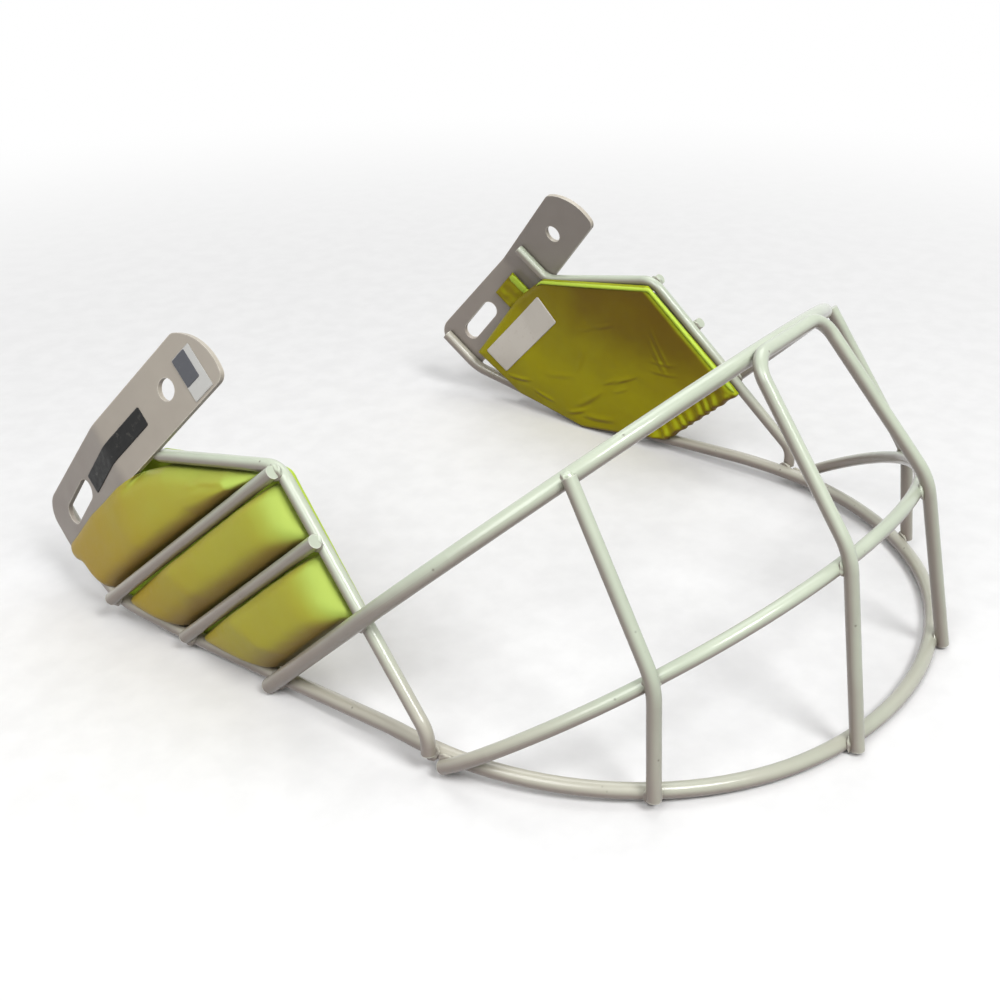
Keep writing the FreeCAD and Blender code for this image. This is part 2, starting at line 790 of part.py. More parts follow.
def backing_face(along, down):
    """Rough height of the backing's outer face, for the roots of the lobes."""
    def edge_height(points):
        for front, rear in zip(points, points[1:]):
            if along >= rear[0] or rear is points[-1]:
                share = (along - front[0]) / (rear[0] - front[0])
                share = max(0.0, min(1.0, share))
                return [front[i] + (rear[i] - front[i]) * share for i in (1, 2)]
    top_down, top_out = edge_height(backing_tops)
    low_down, low_out = edge_height(backing_bottoms)
    share = max(0.0, min(1.0, (down - top_down) / (low_down - top_down)))
    return top_out + (low_out - top_out) * share


def lobe_section(top, bottom, inset, drop):
    """Crowned section of a lobe from its top limit to its bottom limit, each (along, down, out)."""
    across = Vector(bottom[0] - top[0], bottom[1] - top[1], 0)
    width = across.Length
    across = unit(across)
    start = Vector(top[0], top[1], 0) + across * inset
    end = Vector(bottom[0], bottom[1], 0) - across * inset
    draw = min(size("lobe_draw"), width * 0.1)
    root = size("backing_thickness") / 2
    face_top = backing_face(start.x, start.y)
    face_low = backing_face(end.x, end.y)
    least = size("backing_thickness") * 0.7
    top_out = max(top[2] - drop, face_top + least)
    low_out = max(bottom[2] - drop, face_low + least)
    shoulder = min(
        size("lobe_shoulder_radius"), (width - 2 * inset) * 0.32,
        (top_out - face_top) * 0.7, (low_out - face_low) * 0.7,
    )
    diagonal = 1 - math.sqrt(0.5)

    def at(place, out):
        return pad_point(place.x, place.y, out)

    root_top = at(start + across * draw, face_top - root)
    root_low = at(end - across * draw, face_low - root)
    side_top = at(start, top_out - shoulder)
    side_low = at(end, low_out - shoulder)
    crown_top = at(start + across * shoulder, top_out)
    crown_low = at(end - across * shoulder, low_out)
    turn_top = at(start + across * shoulder * diagonal, top_out - shoulder * diagonal)
    turn_low = at(end - across * shoulder * diagonal, low_out - shoulder * diagonal)
    middle = at((start + end) * 0.5, (top_out + low_out) / 2 + size("lobe_crown_height") * width / (width + shoulder))
    return Part.Wire([
        Part.LineSegment(root_low, root_top).toShape(),
        Part.LineSegment(root_top, side_top).toShape(),
        arc_through(side_top, turn_top, crown_top),
        arc_through(crown_top, middle, crown_low),
        arc_through(crown_low, turn_low, side_low),
        Part.LineSegment(side_low, root_low).toShape(),
    ])


def along_limit(points, distance):
    """Point on a limit line, a distance along it from its first point."""
    for first, last in zip(points, points[1:]):
        run = math.dist(first[:2], last[:2])
        if distance <= run or last is points[-1]:
            return tuple(a + (b - a) * distance / run for a, b in zip(first, last))
        distance = distance - run


# Along the rounded end of a lobe: shares of its length, its draw and its drop
rounding_shares = [(0, 1, 1), (0.4, 0.32, 0.3), (1, 0, 0)]


def lobe_shape(tops, bottoms, inner_shares):
    """Loft along a lobe between its limits, with its nose and heel rounded over."""
    lengths = [
        sum(math.dist(first[:2], last[:2]) for first, last in zip(points, points[1:]))
        for points in (tops, bottoms)
    ]
    spots = []
    for share, inset, drop in rounding_shares:
        spots.append((share * size("lobe_nose_length"), 0, inset, drop))
    for share in inner_shares:
        spots.append((0, share, 0, 0))
    for share, inset, drop in reversed(rounding_shares):
        spots.append((-share * size("lobe_heel_length"), 1, inset, drop))
    sections = []
    for distance, share, inset, drop in spots:
        top = along_limit(tops, distance + share * lengths[0])
        bottom = along_limit(bottoms, distance + share * lengths[1])
        sections.append(lobe_section(
            top, bottom, inset * size("lobe_draw"), drop * size("lobe_end_drop")
        ))
    return Part.makeLoft(sections, True, True)


def bar_limit(start, end, radius, along, side):
    """Limit of a lobe beside a bar: clear of its side, and standing over its outer face."""
    first = pad_local(start)
    last = pad_local(end)
    share = (along - first.x) / (last.x - first.x)
    down = first.y + (last.y - first.y) * share
    out = first.z + (last.z - first.z) * share
    return (along, down + side * (radius + size("lobe_side_gap")), out + radius + size("lobe_rise"))


def chin_crown(down):
    """Height of the chin rod's outer side where a line parallel to the bars crosses it."""
    nearest = min(chin_places, key=lambda place: abs(place.y - down) + abs(place.x - chin_along(down)))
    return nearest.z + chin_radius + size("lobe_over_chin")


def beside(start, end, radius, side, past_chin):
    """Limits of a lobe along one bar, from the front rod to the chin rod."""
    gap = radius + size("lobe_side_gap")
    nose_down = pad_local(end).y + side * gap
    nose = line_along(front_bend, front_foot_bend, nose_down) - rod_cover
    heel_down = pad_local(start).y + side * gap
    rear = chin_along(heel_down) - past_chin
    slope = nose + (rear - nose) * size("lobe_slope_share")
    return [
        bar_limit(start, end, radius, nose, side),
        bar_limit(start, end, radius, slope, side),
        (rear, heel_down, chin_crown(heel_down)),
    ]


upper_bar = (upper_tail, upper_tip, wire_radius)
lower_bar = (lower_tail, lower_tip, wire_radius)
brow_side = (brow_tail, brow_bow.side(), brow_radius)
past_chin = size("lobe_past_chin")
slope_shares = [size("lobe_slope_share") * 0.6, size("lobe_slope_share")]
middle_shape = lobe_shape(
    beside(*upper_bar, 1, past_chin), beside(*lower_bar, -1, past_chin), slope_shares
)
lower_shape = lobe_shape(
    beside(*lower_bar, 1, past_chin), beside(*brow_side, -1, past_chin), slope_shares
)

over_plate = size("upper_lobe_over_plate")
plate_crown = size("plate_thickness") + size("lobe_over_chin")
wedge_along = top_corner.x - 5 * wire_radius
wedge_top = line_down(front_points[1], front_bend, wedge_along) + rod_cover
knee_top = back_corner.y + rod_cover
upper_tops = [
    (wedge_along, wedge_top, top_corner.z + wire_radius + size("lobe_rise")),
    (back_corner.x, knee_top, back_corner.z + wire_radius + size("lobe_rise")),
    (plate_knee.x - over_plate, plate_knee.y - over_plate / 2, plate_knee.z + plate_crown),
    (chin_end.x - size("upper_lobe_past_chin"), plate_toe.y - 2 * over_plate, plate_toe.z + plate_crown),
]
upper_limits = beside(*upper_bar, -1, size("upper_lobe_past_chin"))
upper_bottoms = [bar_limit(*upper_bar, wedge_along, -1)] + upper_limits[1:]
upper_shape = lobe_shape(upper_tops, upper_bottoms, [0.3, 0.45, 0.62, 0.8])


# Room left in the soft pieces for the rods and the plate

def tube_along(edges, radius):
    wire = Part.Wire([edge.copy() for edge in edges])
    first = wire.OrderedEdges[0]
    start = first.valueAt(first.FirstParameter)
    heading = first.tangentAt(first.FirstParameter)
    ring = Part.Wire(Part.makeCircle(radius, start, heading))
    return wire.makePipeShell([ring], True, False)


def plate_room():
    """Solid a little larger than the plate's lower leg, with the plate's edges left out."""
    clear = size("pad_clearance")
    half = size("plate_thickness") / 2 + clear
    toe = size("plate_foot_below_bend") + clear
    knee = size("plate_bend_below_hole")
    rear = -half_plate - size("plate_foot_flare") - clear
    corners = [
        Vector(half, rear, 0), Vector(-half, rear, 0), foot_point(0, rear, -half),
        foot_point(toe, rear, -half), foot_point(toe, rear, half), foot_point(0, rear, half),
    ]
    side = Part.Face(Part.makePolygon([on_plate(point) for point in corners + corners[:1]]))
    forward = plate_place.Rotation.multVec(Vector(0, half_plate + clear - rear, 0))
    return side.extrude(forward)


chin_room = tube_along(chin_right, chin_cover)
front_room = tube_along(rounded_run(front_points, front_radii), rod_cover)
steel_room = [chin_room, front_room, plate_room()]


def tab_section(forward, depth):
    """Slice of the tab across the plate, a depth inside the plate's inner face."""
    near = size("tab_below_bend")
    far = near + size("tab_width")
    skin = -size("plate_thickness") / 2 - size("pad_clearance") - depth
    corners = [
        foot_point(near, forward, skin), foot_point(far, forward, skin),
        foot_point(far, forward, skin - size("tab_thickness")),
        foot_point(near, forward, skin - size("tab_thickness")),
    ]
    return Part.makePolygon([on_plate(point) for point in corners + corners[:1]])


tab_root = half_plate + size("tab_thickness")
tab_shape = Part.makeLoft([
    tab_section(tab_root - size("tab_reach"), 0),
    tab_section(half_plate - size("tab_thickness") * 2, 0),
    tab_section(tab_root, size("backing_off_plate")),
], True, True)
brow_side_run = [Part.LineSegment(brow_tail, brow_bow.side()).toShape()]
brow_room = tube_along(brow_side_run, brow_radius + size("pad_clearance"))


def soft_piece(name, shape, rooms):
    """A soft piece with room cut for what it lies against, and its mirror image."""
    for room in rooms:
        shape = shape.cut(room)
    solid = max(shape.Solids, key=lambda part: part.Volume)
    for side, turned in (("right", solid), ("left", solid.mirror(Vector(0, 0, 0), Vector(1, 0, 0)))):
        piece = doc.addObject("Part::Feature", "%s_%s" % (name, side))
        piece.Shape = turned
        named("%s_%s" % (name, side), piece)


for name, shape, rooms in [
    ("pad_backing", backing_shape, steel_room),
    ("cheek_pad_upper", upper_shape, steel_room + [backing_shape]),
    ("cheek_pad_middle", middle_shape, steel_room + [backing_shape]),
    ("cheek_pad_lower", lower_shape, steel_room + [backing_shape, brow_room]),
    ("pad_tab", tab_shape, [front_room, backing_shape, upper_shape]),
]:
    soft_piece(name, shape, rooms)

doc.recompute()
faulty = [item.Label for item in doc.Objects if "Invalid" in item.State or "Error" in item.State]
if faulty:
    raise RuntimeError("features failed: " + ", ".join(faulty))
for piece in finished:
    shape = piece.Shape
    if shape.isNull() or not shape.isValid() or not shape.Solids:
        raise RuntimeError(piece.Label + " has no sound solid")
    shape.exportStep("parts/%s.step" % piece.Label)
    print(piece.Label, "%.1f cm3" % (shape.Volume / 1000))
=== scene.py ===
import math

import bmesh
import bpy
import numpy as np
from mathutils import Matrix, Vector, noise


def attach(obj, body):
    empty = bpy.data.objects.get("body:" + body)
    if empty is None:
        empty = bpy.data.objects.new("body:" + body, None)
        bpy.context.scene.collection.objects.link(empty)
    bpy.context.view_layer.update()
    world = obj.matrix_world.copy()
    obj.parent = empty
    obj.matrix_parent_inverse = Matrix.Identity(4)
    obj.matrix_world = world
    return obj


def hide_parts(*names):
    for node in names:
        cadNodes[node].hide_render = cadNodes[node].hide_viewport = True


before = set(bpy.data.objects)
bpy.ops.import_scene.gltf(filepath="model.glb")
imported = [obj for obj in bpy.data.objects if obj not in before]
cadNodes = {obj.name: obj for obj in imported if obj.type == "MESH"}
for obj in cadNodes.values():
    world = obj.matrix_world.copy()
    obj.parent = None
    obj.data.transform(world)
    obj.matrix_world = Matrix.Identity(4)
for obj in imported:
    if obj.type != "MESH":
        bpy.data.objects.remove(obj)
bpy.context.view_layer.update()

mm = 0.001  # sizes below are in millimetres, and go into the scene in metres
sides = ("right", "left")

# The pad's own frame on the wearer's right: along the cheek bars, down across them, out of its face
padFrame = {
    "origin": (93.64, -21.33, 68.79),
    "along": (-0.00847, 0.74174, 0.67063),
    "down": (0.11695, 0.66679, -0.73601),
    "out": (0.9931, -0.0722, 0.09239),
}

# The right plate's own frame at its round hole: out of its face, to its front edge, up the strip
plateFrame = {
    "origin": (94.8, -65.5, 79.9),
    "out": (0.961399, 0.065542, 0.267238),
    "forward": (0.124, 0.7638, -0.6335),
    "up": (-0.2456, 0.6422, 0.7262),
    "halfThickness": 0.8,
    "halfWidth": 10.6,
    "bendBelowHole": 32.0,
    "bendAngle": 16.0,
    "outerBendRadius": 13.6,
    "footBelowBend": 51.4,
}


def frameMatrix(settings, names):
    axes = Matrix([settings[name] for name in names]).transposed()
    return Matrix.Translation(Vector(settings["origin"])) @ axes.to_4x4()


padMatrix = frameMatrix(padFrame, ("along", "down", "out"))
plateMatrix = frameMatrix(plateFrame, ("out", "forward", "up"))
plateTurn = math.radians(plateFrame["bendAngle"])
plateCrease = -plateFrame["bendBelowHole"] - plateFrame["halfThickness"] * math.tan(plateTurn / 2)


def onSide(point, side):
    # the left cheek is the right one's mirror image
    return Vector((point.x if side == "right" else -point.x, point.y, point.z)) * mm


def padPoint(along, down, out, side="right"):
    return onSide(padMatrix @ Vector((along, down, out)), side)


def plateSurface(forward, height, lift, side="right"):
    # a point on the plate's outer face, which turns in below its bend
    half = plateFrame["halfThickness"]
    radius = plateFrame["outerBendRadius"]
    arcTop = plateCrease + radius * math.tan(plateTurn / 2)
    centre = Vector((half - radius, 0, arcTop))
    below = arcTop - height
    if below <= 0:
        spot, normal = Vector((half, 0, height)), Vector((1, 0, 0))
    else:
        turn = min(below / radius, plateTurn)
        normal = Vector((math.cos(turn), 0, -math.sin(turn)))
        rest = max(0.0, below - radius * plateTurn)
        spot = centre + normal * radius + Vector((-math.sin(plateTurn), 0, -math.cos(plateTurn))) * rest
    spot += normal * lift + Vector((0, forward, 0))
    return onSide(plateMatrix @ spot, side)


def linked(name, data):
    made = bpy.data.objects.new(name, data)
    bpy.context.scene.collection.objects.link(made)
    return made


def meshPiece(name, points, faces, materials, side="right"):
    mesh = bpy.data.meshes.new(name)
    if side == "left":
        faces = [tuple(reversed(face)) for face in faces]
    mesh.from_pydata([tuple(point) for point in points], [], faces)
    mesh.validate()
    for material in materials:
        mesh.materials.append(material)
    mesh.polygons.foreach_set("use_smooth", [True] * len(mesh.polygons))
    return linked(name, mesh)


def applyModifiers(piece):
    depsgraph = bpy.context.evaluated_depsgraph_get()
    mesh = bpy.data.meshes.new_from_object(piece.evaluated_get(depsgraph))
    piece.modifiers.clear()
    piece.data = mesh


def readPoints(mesh):
    points = np.zeros(len(mesh.vertices) * 3)
    mesh.vertices.foreach_get("co", points)
    return points.reshape(-1, 3)


def writePoints(mesh, points):
    mesh.vertices.foreach_set("co", np.asarray(points, np.float32).ravel())
    mesh.update()


def gridFaces(rows, columns, start=0, flip=False):
    faces = []
    for i in range(rows - 1):
        for j in range(columns - 1):
            a = start + i * columns + j
            face = (a, a + 1, a + columns + 1, a + columns)
            faces.append(tuple(reversed(face)) if flip else face)
    return faces


def smoothStep(low, high, value):
    t = np.clip((np.asarray(value, float) - low) / (high - low), 0, 1)
    return t * t * (3 - 2 * t)


def roundOver(distance, reach, fullness):
    # quarter of a rounded corner: upright at the rim, flat at its reach
    share = np.clip(distance / max(reach, 1e-6), 0, 1)
    return (1 - (1 - share) ** fullness) ** (1 / fullness)


def roundedRim(rim, reach):
    # a quarter circle: nothing at the rim, all of it at its reach
    share = np.clip(rim / reach, 0, 1)
    return np.sqrt(np.maximum(0, 1 - (1 - share) ** 2))


def cornerPull(distance, radius):
    # how far a rounded corner draws in the outline here
    return radius * (1 - roundedRim(distance, radius))


def runAlong(line):
    return np.concatenate([[0], np.cumsum(np.linalg.norm(np.diff(line, axis=0), axis=1))])


def softLine(line, window):
    # smooths a line of points and keeps its ends
    kernel = np.hanning(window)
    kernel /= kernel.sum()
    half = window // 2
    longer = np.concatenate([2 * line[:1] - line[half:0:-1], line, 2 * line[-1:] - line[-2:-half - 2:-1]])
    return np.stack([np.convolve(longer[:, k], kernel, "valid") for k in range(3)], 1)


def lineAt(line, places, wanted):
    return np.stack([np.interp(wanted, places, line[:, k]) for k in range(3)], 1)


def soften(grid, turns):
    for _ in range(turns):
        wide = np.pad(grid, 1, mode="edge")
        grid = (wide[:-2, 1:-1] + wide[2:, 1:-1] + wide[1:-1, :-2] + wide[1:-1, 2:] + 2 * grid) / 6
    return grid


def noiseGrid(along, down, scale, seed):
    spots = zip(along.ravel(), down.ravel())
    heights = [noise.noise(Vector((a * scale, b * scale, seed))) for a, b in spots]
    return np.array(heights).reshape(along.shape)


def cleanSkin(piece, merge=False):
    skin = bmesh.new()
    skin.from_mesh(piece.data)
    if merge:
        bmesh.ops.remove_doubles(skin, verts=skin.verts[:], dist=0.01 * mm)
        bmesh.ops.dissolve_degenerate(skin, edges=skin.edges[:], dist=0.005 * mm)
    bmesh.ops.recalc_face_normals(skin, faces=skin.faces[:])
    skin.to_mesh(piece.data)
    skin.free()
    piece.data.polygons.foreach_set("use_smooth", [True] * len(piece.data.polygons))
    return piece


def closedSheet(name, points, rows, columns, material, side):
    # two grids of points and the wall between their borders, made into one closed skin
    faces = gridFaces(rows, columns, 0, True) + gridFaces(rows, columns, rows * columns)
    ring = [i * columns for i in range(rows)] + [(rows - 1) * columns + j for j in range(1, columns)]
    ring += [i * columns + columns - 1 for i in range(rows - 2, -1, -1)] + list(range(columns - 2, 0, -1))
    for k, a in enumerate(ring):
        b = ring[(k + 1) % len(ring)]
        faces.append((a, b, b + rows * columns, a + rows * columns))
    return cleanSkin(meshPiece(name, points, faces, [material], side), merge=True)


def padSheet(name, along, down, heights, material, side):
    # a closed sheet between two faces, each a grid of heights out of the pad's frame
    rows, columns = along.shape
    points = [padPoint(along[i, j], down[i, j], height[i, j], side)
              for height in heights for i in range(rows) for j in range(columns)]
    return closedSheet(name, points, rows, columns, material, side)


def makeTube(name, points, around, material, side):
    # a closed tube through rings of points
    last = len(points) - around
    faces = []
    for start in range(0, last, around):
        for k in range(around):
            a, b = start + k, start + (k + 1) % around
            faces.append((a, b, b + around, a + around))
    faces.append(tuple(reversed(range(around))))
    faces.append(tuple(range(last, len(points))))
    return cleanSkin(meshPiece(name, points, faces, [material], side))


def padPiece(piece, node=None):
    # a soft piece, which may stand for one of the CAD nodes
    if node:
        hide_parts(node)
    return piece


# Materials

def nodeIn(tree, kind, settings=None, **values):
    made = tree.nodes.new(kind)
    for key, value in (settings or {}).items():
        setattr(made, key, value)
    for key, value in values.items():
        made.inputs[key.replace("_", " ")].default_value = value
    return made


def feed(tree, socket, value):
    # a number, a colour or what another node puts out
    if isinstance(value, (int, float)):
        socket.default_value = value
    elif isinstance(value, tuple):
        socket.default_value = (*value, 1)
    else:
        tree.links.new(value, socket)


def mathNode(tree, operation, first, second, clamp=False):
    made = nodeIn(tree, "ShaderNodeMath", {"operation": operation, "use_clamp": clamp})
    feed(tree, made.inputs[0], first)
    feed(tree, made.inputs[1], second)
    return made.outputs[0]


def rangeNode(tree, value, low, high, toLow=0.0, toHigh=1.0, kind="SMOOTHSTEP"):
    made = nodeIn(tree, "ShaderNodeMapRange", {"interpolation_type": kind})
    limits = {"Value": value, "From Min": low, "From Max": high, "To Min": toLow, "To Max": toHigh}
    for key, number in limits.items():
        feed(tree, made.inputs[key], number)
    return made.outputs["Result"]


def mixNode(tree, factor, first, second):
    made = nodeIn(tree, "ShaderNodeMix", {"data_type": "RGBA"})
    for index, value in ((0, factor), (6, first), (7, second)):
        feed(tree, made.inputs[index], value)
    return made.outputs[2]


def tinted(tree, colour, mask, share, tone):
    # lays a share of the tone over the colour where the mask is white
    return mixNode(tree, mathNode(tree, "MULTIPLY", mask, share), colour, tone)


def noiseNode(tree, vector, scale, detail=4.0, roughness=0.55, distortion=0.0):
    made = nodeIn(tree, "ShaderNodeTexNoise", Detail=detail, Roughness=roughness, Distortion=distortion)
    tree.links.new(vector, made.inputs["Vector"])
    feed(tree, made.inputs["Scale"], scale)
    return made.outputs["Fac"]


def newGroup(name, inputs, outputs):
    # its inputs with their values, and the names of its outputs, which are all numbers
    group = bpy.data.node_groups.new(name, "ShaderNodeTree")
    for label, value in inputs.items():
        kind = "NodeSocketVector" if isinstance(value, tuple) else "NodeSocketFloat"
        group.interface.new_socket(name=label, in_out="INPUT", socket_type=kind).default_value = value
    for label in outputs:
        group.interface.new_socket(name=label, in_out="OUTPUT", socket_type="NodeSocketFloat")
    return group, group.nodes.new("NodeGroupInput").outputs, group.nodes.new("NodeGroupOutput").inputs


def objectPlace(tree):
    return tree.nodes.new("ShaderNodeTexCoord").outputs["Object"]


def makePaintSkin():
    # orange peel, and small pits where the powder coat has gassed
    given = {"Peel Scale": 700.0, "Pit Scale": 260.0, "Pit Size": 0.1}
    group, given, out = newGroup("paintSkin", given, ["Height", "Pits"])
    place = objectPlace(group)
    peel = noiseNode(group, place, given["Peel Scale"], 2.0, 0.5)
    cells = nodeIn(group, "ShaderNodeTexVoronoi", {"feature": "F1"}, Randomness=1.0)
    group.links.new(place, cells.inputs["Vector"])
    group.links.new(given["Pit Scale"], cells.inputs["Scale"])
    pick = group.nodes.new("ShaderNodeSeparateColor")
    group.links.new(cells.outputs["Color"], pick.inputs[0])
    rare = mathNode(group, "LESS_THAN", pick.outputs[0], 0.16)
    near = rangeNode(group, cells.outputs["Distance"], 0.0, given["Pit Size"], 1.0, 0.0)
    pits = mathNode(group, "MULTIPLY", near, rare)
    height = mathNode(group, "SUBTRACT", peel, mathNode(group, "MULTIPLY", pits, 3.0))
    group.links.new(height, out["Height"])
    group.links.new(pits, out["Pits"])
    return group


def makeHiding(name, reach, scale, settings, limits, detail, roughness, least):
    # a mask from how far the surface is shut in, broken up by noise
    group, given, out = newGroup(name, {"Reach": reach, "Grain Scale": scale}, ["Mask"])
    shut = nodeIn(group, "ShaderNodeAmbientOcclusion", {"samples": 6, **settings})
    group.links.new(given["Reach"], shut.inputs["Distance"])
    grain = noiseNode(group, objectPlace(group), given["Grain Scale"], detail, roughness)
    broken = rangeNode(group, grain, 0.3, 0.6, least, 1.0)
    mask = mathNode(group, "MULTIPLY", rangeNode(group, shut.outputs["AO"], *limits), broken, clamp=True)
    group.links.new(mask, out["Mask"])
    return group


def makeDirected(name, facing, scale, roughness, unevenness):
    # grows along one direction, of the surface's normal or of its place, the same on both cheeks
    group, given, out = newGroup(name, {"Direction": (0.0, 0.0, 1.0), "Start": 0.0, "Full": 1.0}, ["Mask"])
    place = objectPlace(group)
    source = group.nodes.new("ShaderNodeNewGeometry").outputs["Normal"] if facing else place
    reach = nodeIn(group, "ShaderNodeVectorMath", {"operation": "DOT_PRODUCT"})
    group.links.new(source, reach.inputs[0])
    group.links.new(given["Direction"], reach.inputs[1])
    uneven = mathNode(group, "SUBTRACT", noiseNode(group, place, scale, 3.0, roughness), 0.5)
    spot = mathNode(group, "ADD", reach.outputs["Value"], mathNode(group, "MULTIPLY", uneven, unevenness))
    group.links.new(rangeNode(group, spot, given["Start"], given["Full"]), out["Mask"])
    return group


def makeSatinCloth():
    # fine crossed threads and a soft mottle
    given = {"Thread Scale": 1500.0, "Mottle Scale": 90.0}
    group, given, out = newGroup("satinCloth", given, ["Height", "Mottle", "Grain"])
    place = objectPlace(group)
    threads = []
    for direction in ("Y", "Z"):
        wave = nodeIn(group, "ShaderNodeTexWave", {"bands_direction": direction}, Distortion=1.5, Detail=2.0)
        wave.inputs["Detail Scale"].default_value = 2.0
        group.links.new(place, wave.inputs["Vector"])
        group.links.new(given["Thread Scale"], wave.inputs["Scale"])
        threads.append(wave.outputs["Fac"])
    weave = mathNode(group, "MAXIMUM", *threads)
    grain = noiseNode(group, place, 2600.0, 3.0, 0.6)
    group.links.new(mathNode(group, "ADD", weave, grain), out["Height"])
    group.links.new(noiseNode(group, place, given["Mottle Scale"], 5.0, 0.6), out["Mottle"])
    group.links.new(grain, out["Grain"])
    return group


paintSkin = makePaintSkin()
# outer corners, found from inside the metal, and darkening where two surfaces meet, found from how shut in
# they are
inside = {"inside": True, "only_local": True}
edgeWear = makeHiding("edgeWear", 0.0006, 500.0, inside, (0.85, 0.45), 5.0, 0.65, 0.25)
crevice = makeHiding("crevice", 0.002, 400.0, {}, (0.75, 0.25), 4.0, 0.6, 0.45)
# masks from the way a surface faces and from its place, used for painted shade and painted light
towards = makeDirected("towards", True, 60.0, 0.5, 0.25)
fadeAlong = makeDirected("fadeAlong", False, 45.0, 0.55, 0.03)
satinCloth = makeSatinCloth()


def placed(tree, group, **values):
    made = tree.nodes.new("ShaderNodeGroup")
    made.node_tree = group
    for key, value in values.items():
        made.inputs[key.replace("_", " ")].default_value = value
    return made.outputs


def startMaterial(name):
    material = bpy.data.materials.new(name)
    material.use_nodes = True
    tree = material.node_tree
    return material, tree, tree.nodes["Principled BSDF"]


def addBump(tree, shader, height, strength, distance):
    bump = nodeIn(tree, "ShaderNodeBump", Strength=strength, Distance=distance)
    tree.links.new(height, bump.inputs["Height"])
    tree.links.new(bump.outputs["Normal"], shader.inputs["Normal"])


# the low tone is painted shade on the lower parts of the guard, and the under tone painted shade on faces
# turned down
paintSettings = {
    "rodPaint": {
        "colour": (0.56, 0.622, 0.49), "tint": (0.5, 0.56, 0.438), "worn": (0.74, 0.76, 0.66),
        "pit": (0.17, 0.155, 0.12), "creviceDark": (0.12, 0.105, 0.08), "under": (0.238, 0.19, 0.167),
        "low": (0.48, 0.432, 0.366), "underFull": 0.02,
        "roughness": (0.3, 0.42), "coat": 0.7,
        "peel": 620.0, "pitScale": 340.0, "pitSize": 0.19, "bump": 0.00006,
    },
    "platePaint": {
        "colour": (0.54, 0.495, 0.415), "tint": (0.49, 0.445, 0.372), "worn": (0.74, 0.7, 0.62),
        "pit": (0.2, 0.18, 0.15), "creviceDark": (0.1, 0.09, 0.07), "under": (0.262, 0.228, 0.212),
        "low": (0.41, 0.36, 0.315), "underFull": 0.35,
        "roughness": (0.38, 0.5), "coat": 0.1,
        "peel": 900.0, "pitScale": 260.0, "pitSize": 0.07, "bump": 0.00004,
    },
}


def makePaint(name):
    settings = paintSettings[name]
    material, tree, shader = startMaterial(name)
    place = objectPlace(tree)
    cloud = rangeNode(tree, noiseNode(tree, place, 28.0, 4.0, 0.55), 0.35, 0.7)
    colour = mixNode(tree, cloud, settings["colour"], settings["tint"])
    # painted shade: the lower parts of the guard darker and pinker
    low = placed(tree, fadeAlong, Direction=(0, 0.2, 0.98), Start=0.058, Full=0.008)["Mask"]
    colour = tinted(tree, colour, low, 0.75, settings["low"])
    # painted shade: faces turned down are darker
    facing = {"Direction": (0.0, -0.3, -0.954), "Start": -0.75, "Full": settings["underFull"]}
    under = placed(tree, towards, **facing)["Mask"]
    colour = tinted(tree, colour, under, 0.9, settings["under"])
    worn = placed(tree, edgeWear, Reach=0.0005)["Mask"]
    colour = mixNode(tree, worn, colour, settings["worn"])
    skin = placed(tree, paintSkin, Peel_Scale=settings["peel"], Pit_Scale=settings["pitScale"],
                  Pit_Size=settings["pitSize"])
    colour = tinted(tree, colour, skin["Pits"], 0.85, settings["pit"])
    # darker where two surfaces meet, broken up by noise
    creviceDark = placed(tree, crevice, Reach=0.0016)["Mask"]
    colour = tinted(tree, colour, creviceDark, 0.75, settings["creviceDark"])
    tree.links.new(colour, shader.inputs["Base Color"])
    low, high = settings["roughness"]
    rough = rangeNode(tree, noiseNode(tree, place, 120.0, 4.0, 0.6), 0.3, 0.7, low, high)
    tree.links.new(rough, shader.inputs["Roughness"])
    shader.inputs["Coat Weight"].default_value = settings["coat"]
    shader.inputs["Coat Roughness"].default_value = 0.13
    addBump(tree, shader, skin["Height"], 0.55, settings["bump"])
    return material


# in each cover the lime tone is painted light, on faces turned to the key lamp, and the shade tones are
# painted shade
coverSettings = {
    "padCover": {
        "colour": (0.455, 0.42, 0.036), "light": (0.485, 0.475, 0.052), "shade": (0.24, 0.132, 0.026),
        "lime": (0.4, 0.53, 0.1), "fadeShade": (0.48, 0.28, 0.008),
        "fadeShadeWay": ((0, 0.742, 0.671), 0.02, -0.075), "roughness": (0.3, 0.42), "metallic": 0.14, "sheen": 0.1,
        "thread": 1400.0, "bump": 0.0001,
    },
    "padLining": {
        "colour": (0.35, 0.3, 0.002), "light": (0.405, 0.375, 0.004), "shade": (0.18, 0.092, 0.008),
        "lime": (0.44, 0.52, 0.012), "fadeShade": (0.125, 0.056, 0.005),
        "fadeShadeWay": ((0, 0.294, 0.956), 0.004, 0.052), "roughness": (0.34, 0.46), "metallic": 0.1, "sheen": 0.0,
        "thread": 1900.0, "bump": 0.00006,
    },
    "limeEdge": {
        "colour": (0.51, 0.68, 0.06), "light": (0.61, 0.79, 0.11), "shade": (0.24, 0.28, 0.018),
        "lime": (0.55, 0.75, 0.085), "fadeShade": (0.29, 0.43, 0.018),
        "fadeShadeWay": ((0, 0.742, 0.671), 0.0, -0.07), "roughness": (0.36, 0.48), "metallic": 0.1, "sheen": 0.1,
        "thread": 1500.0, "bump": 0.00005,
    },
}


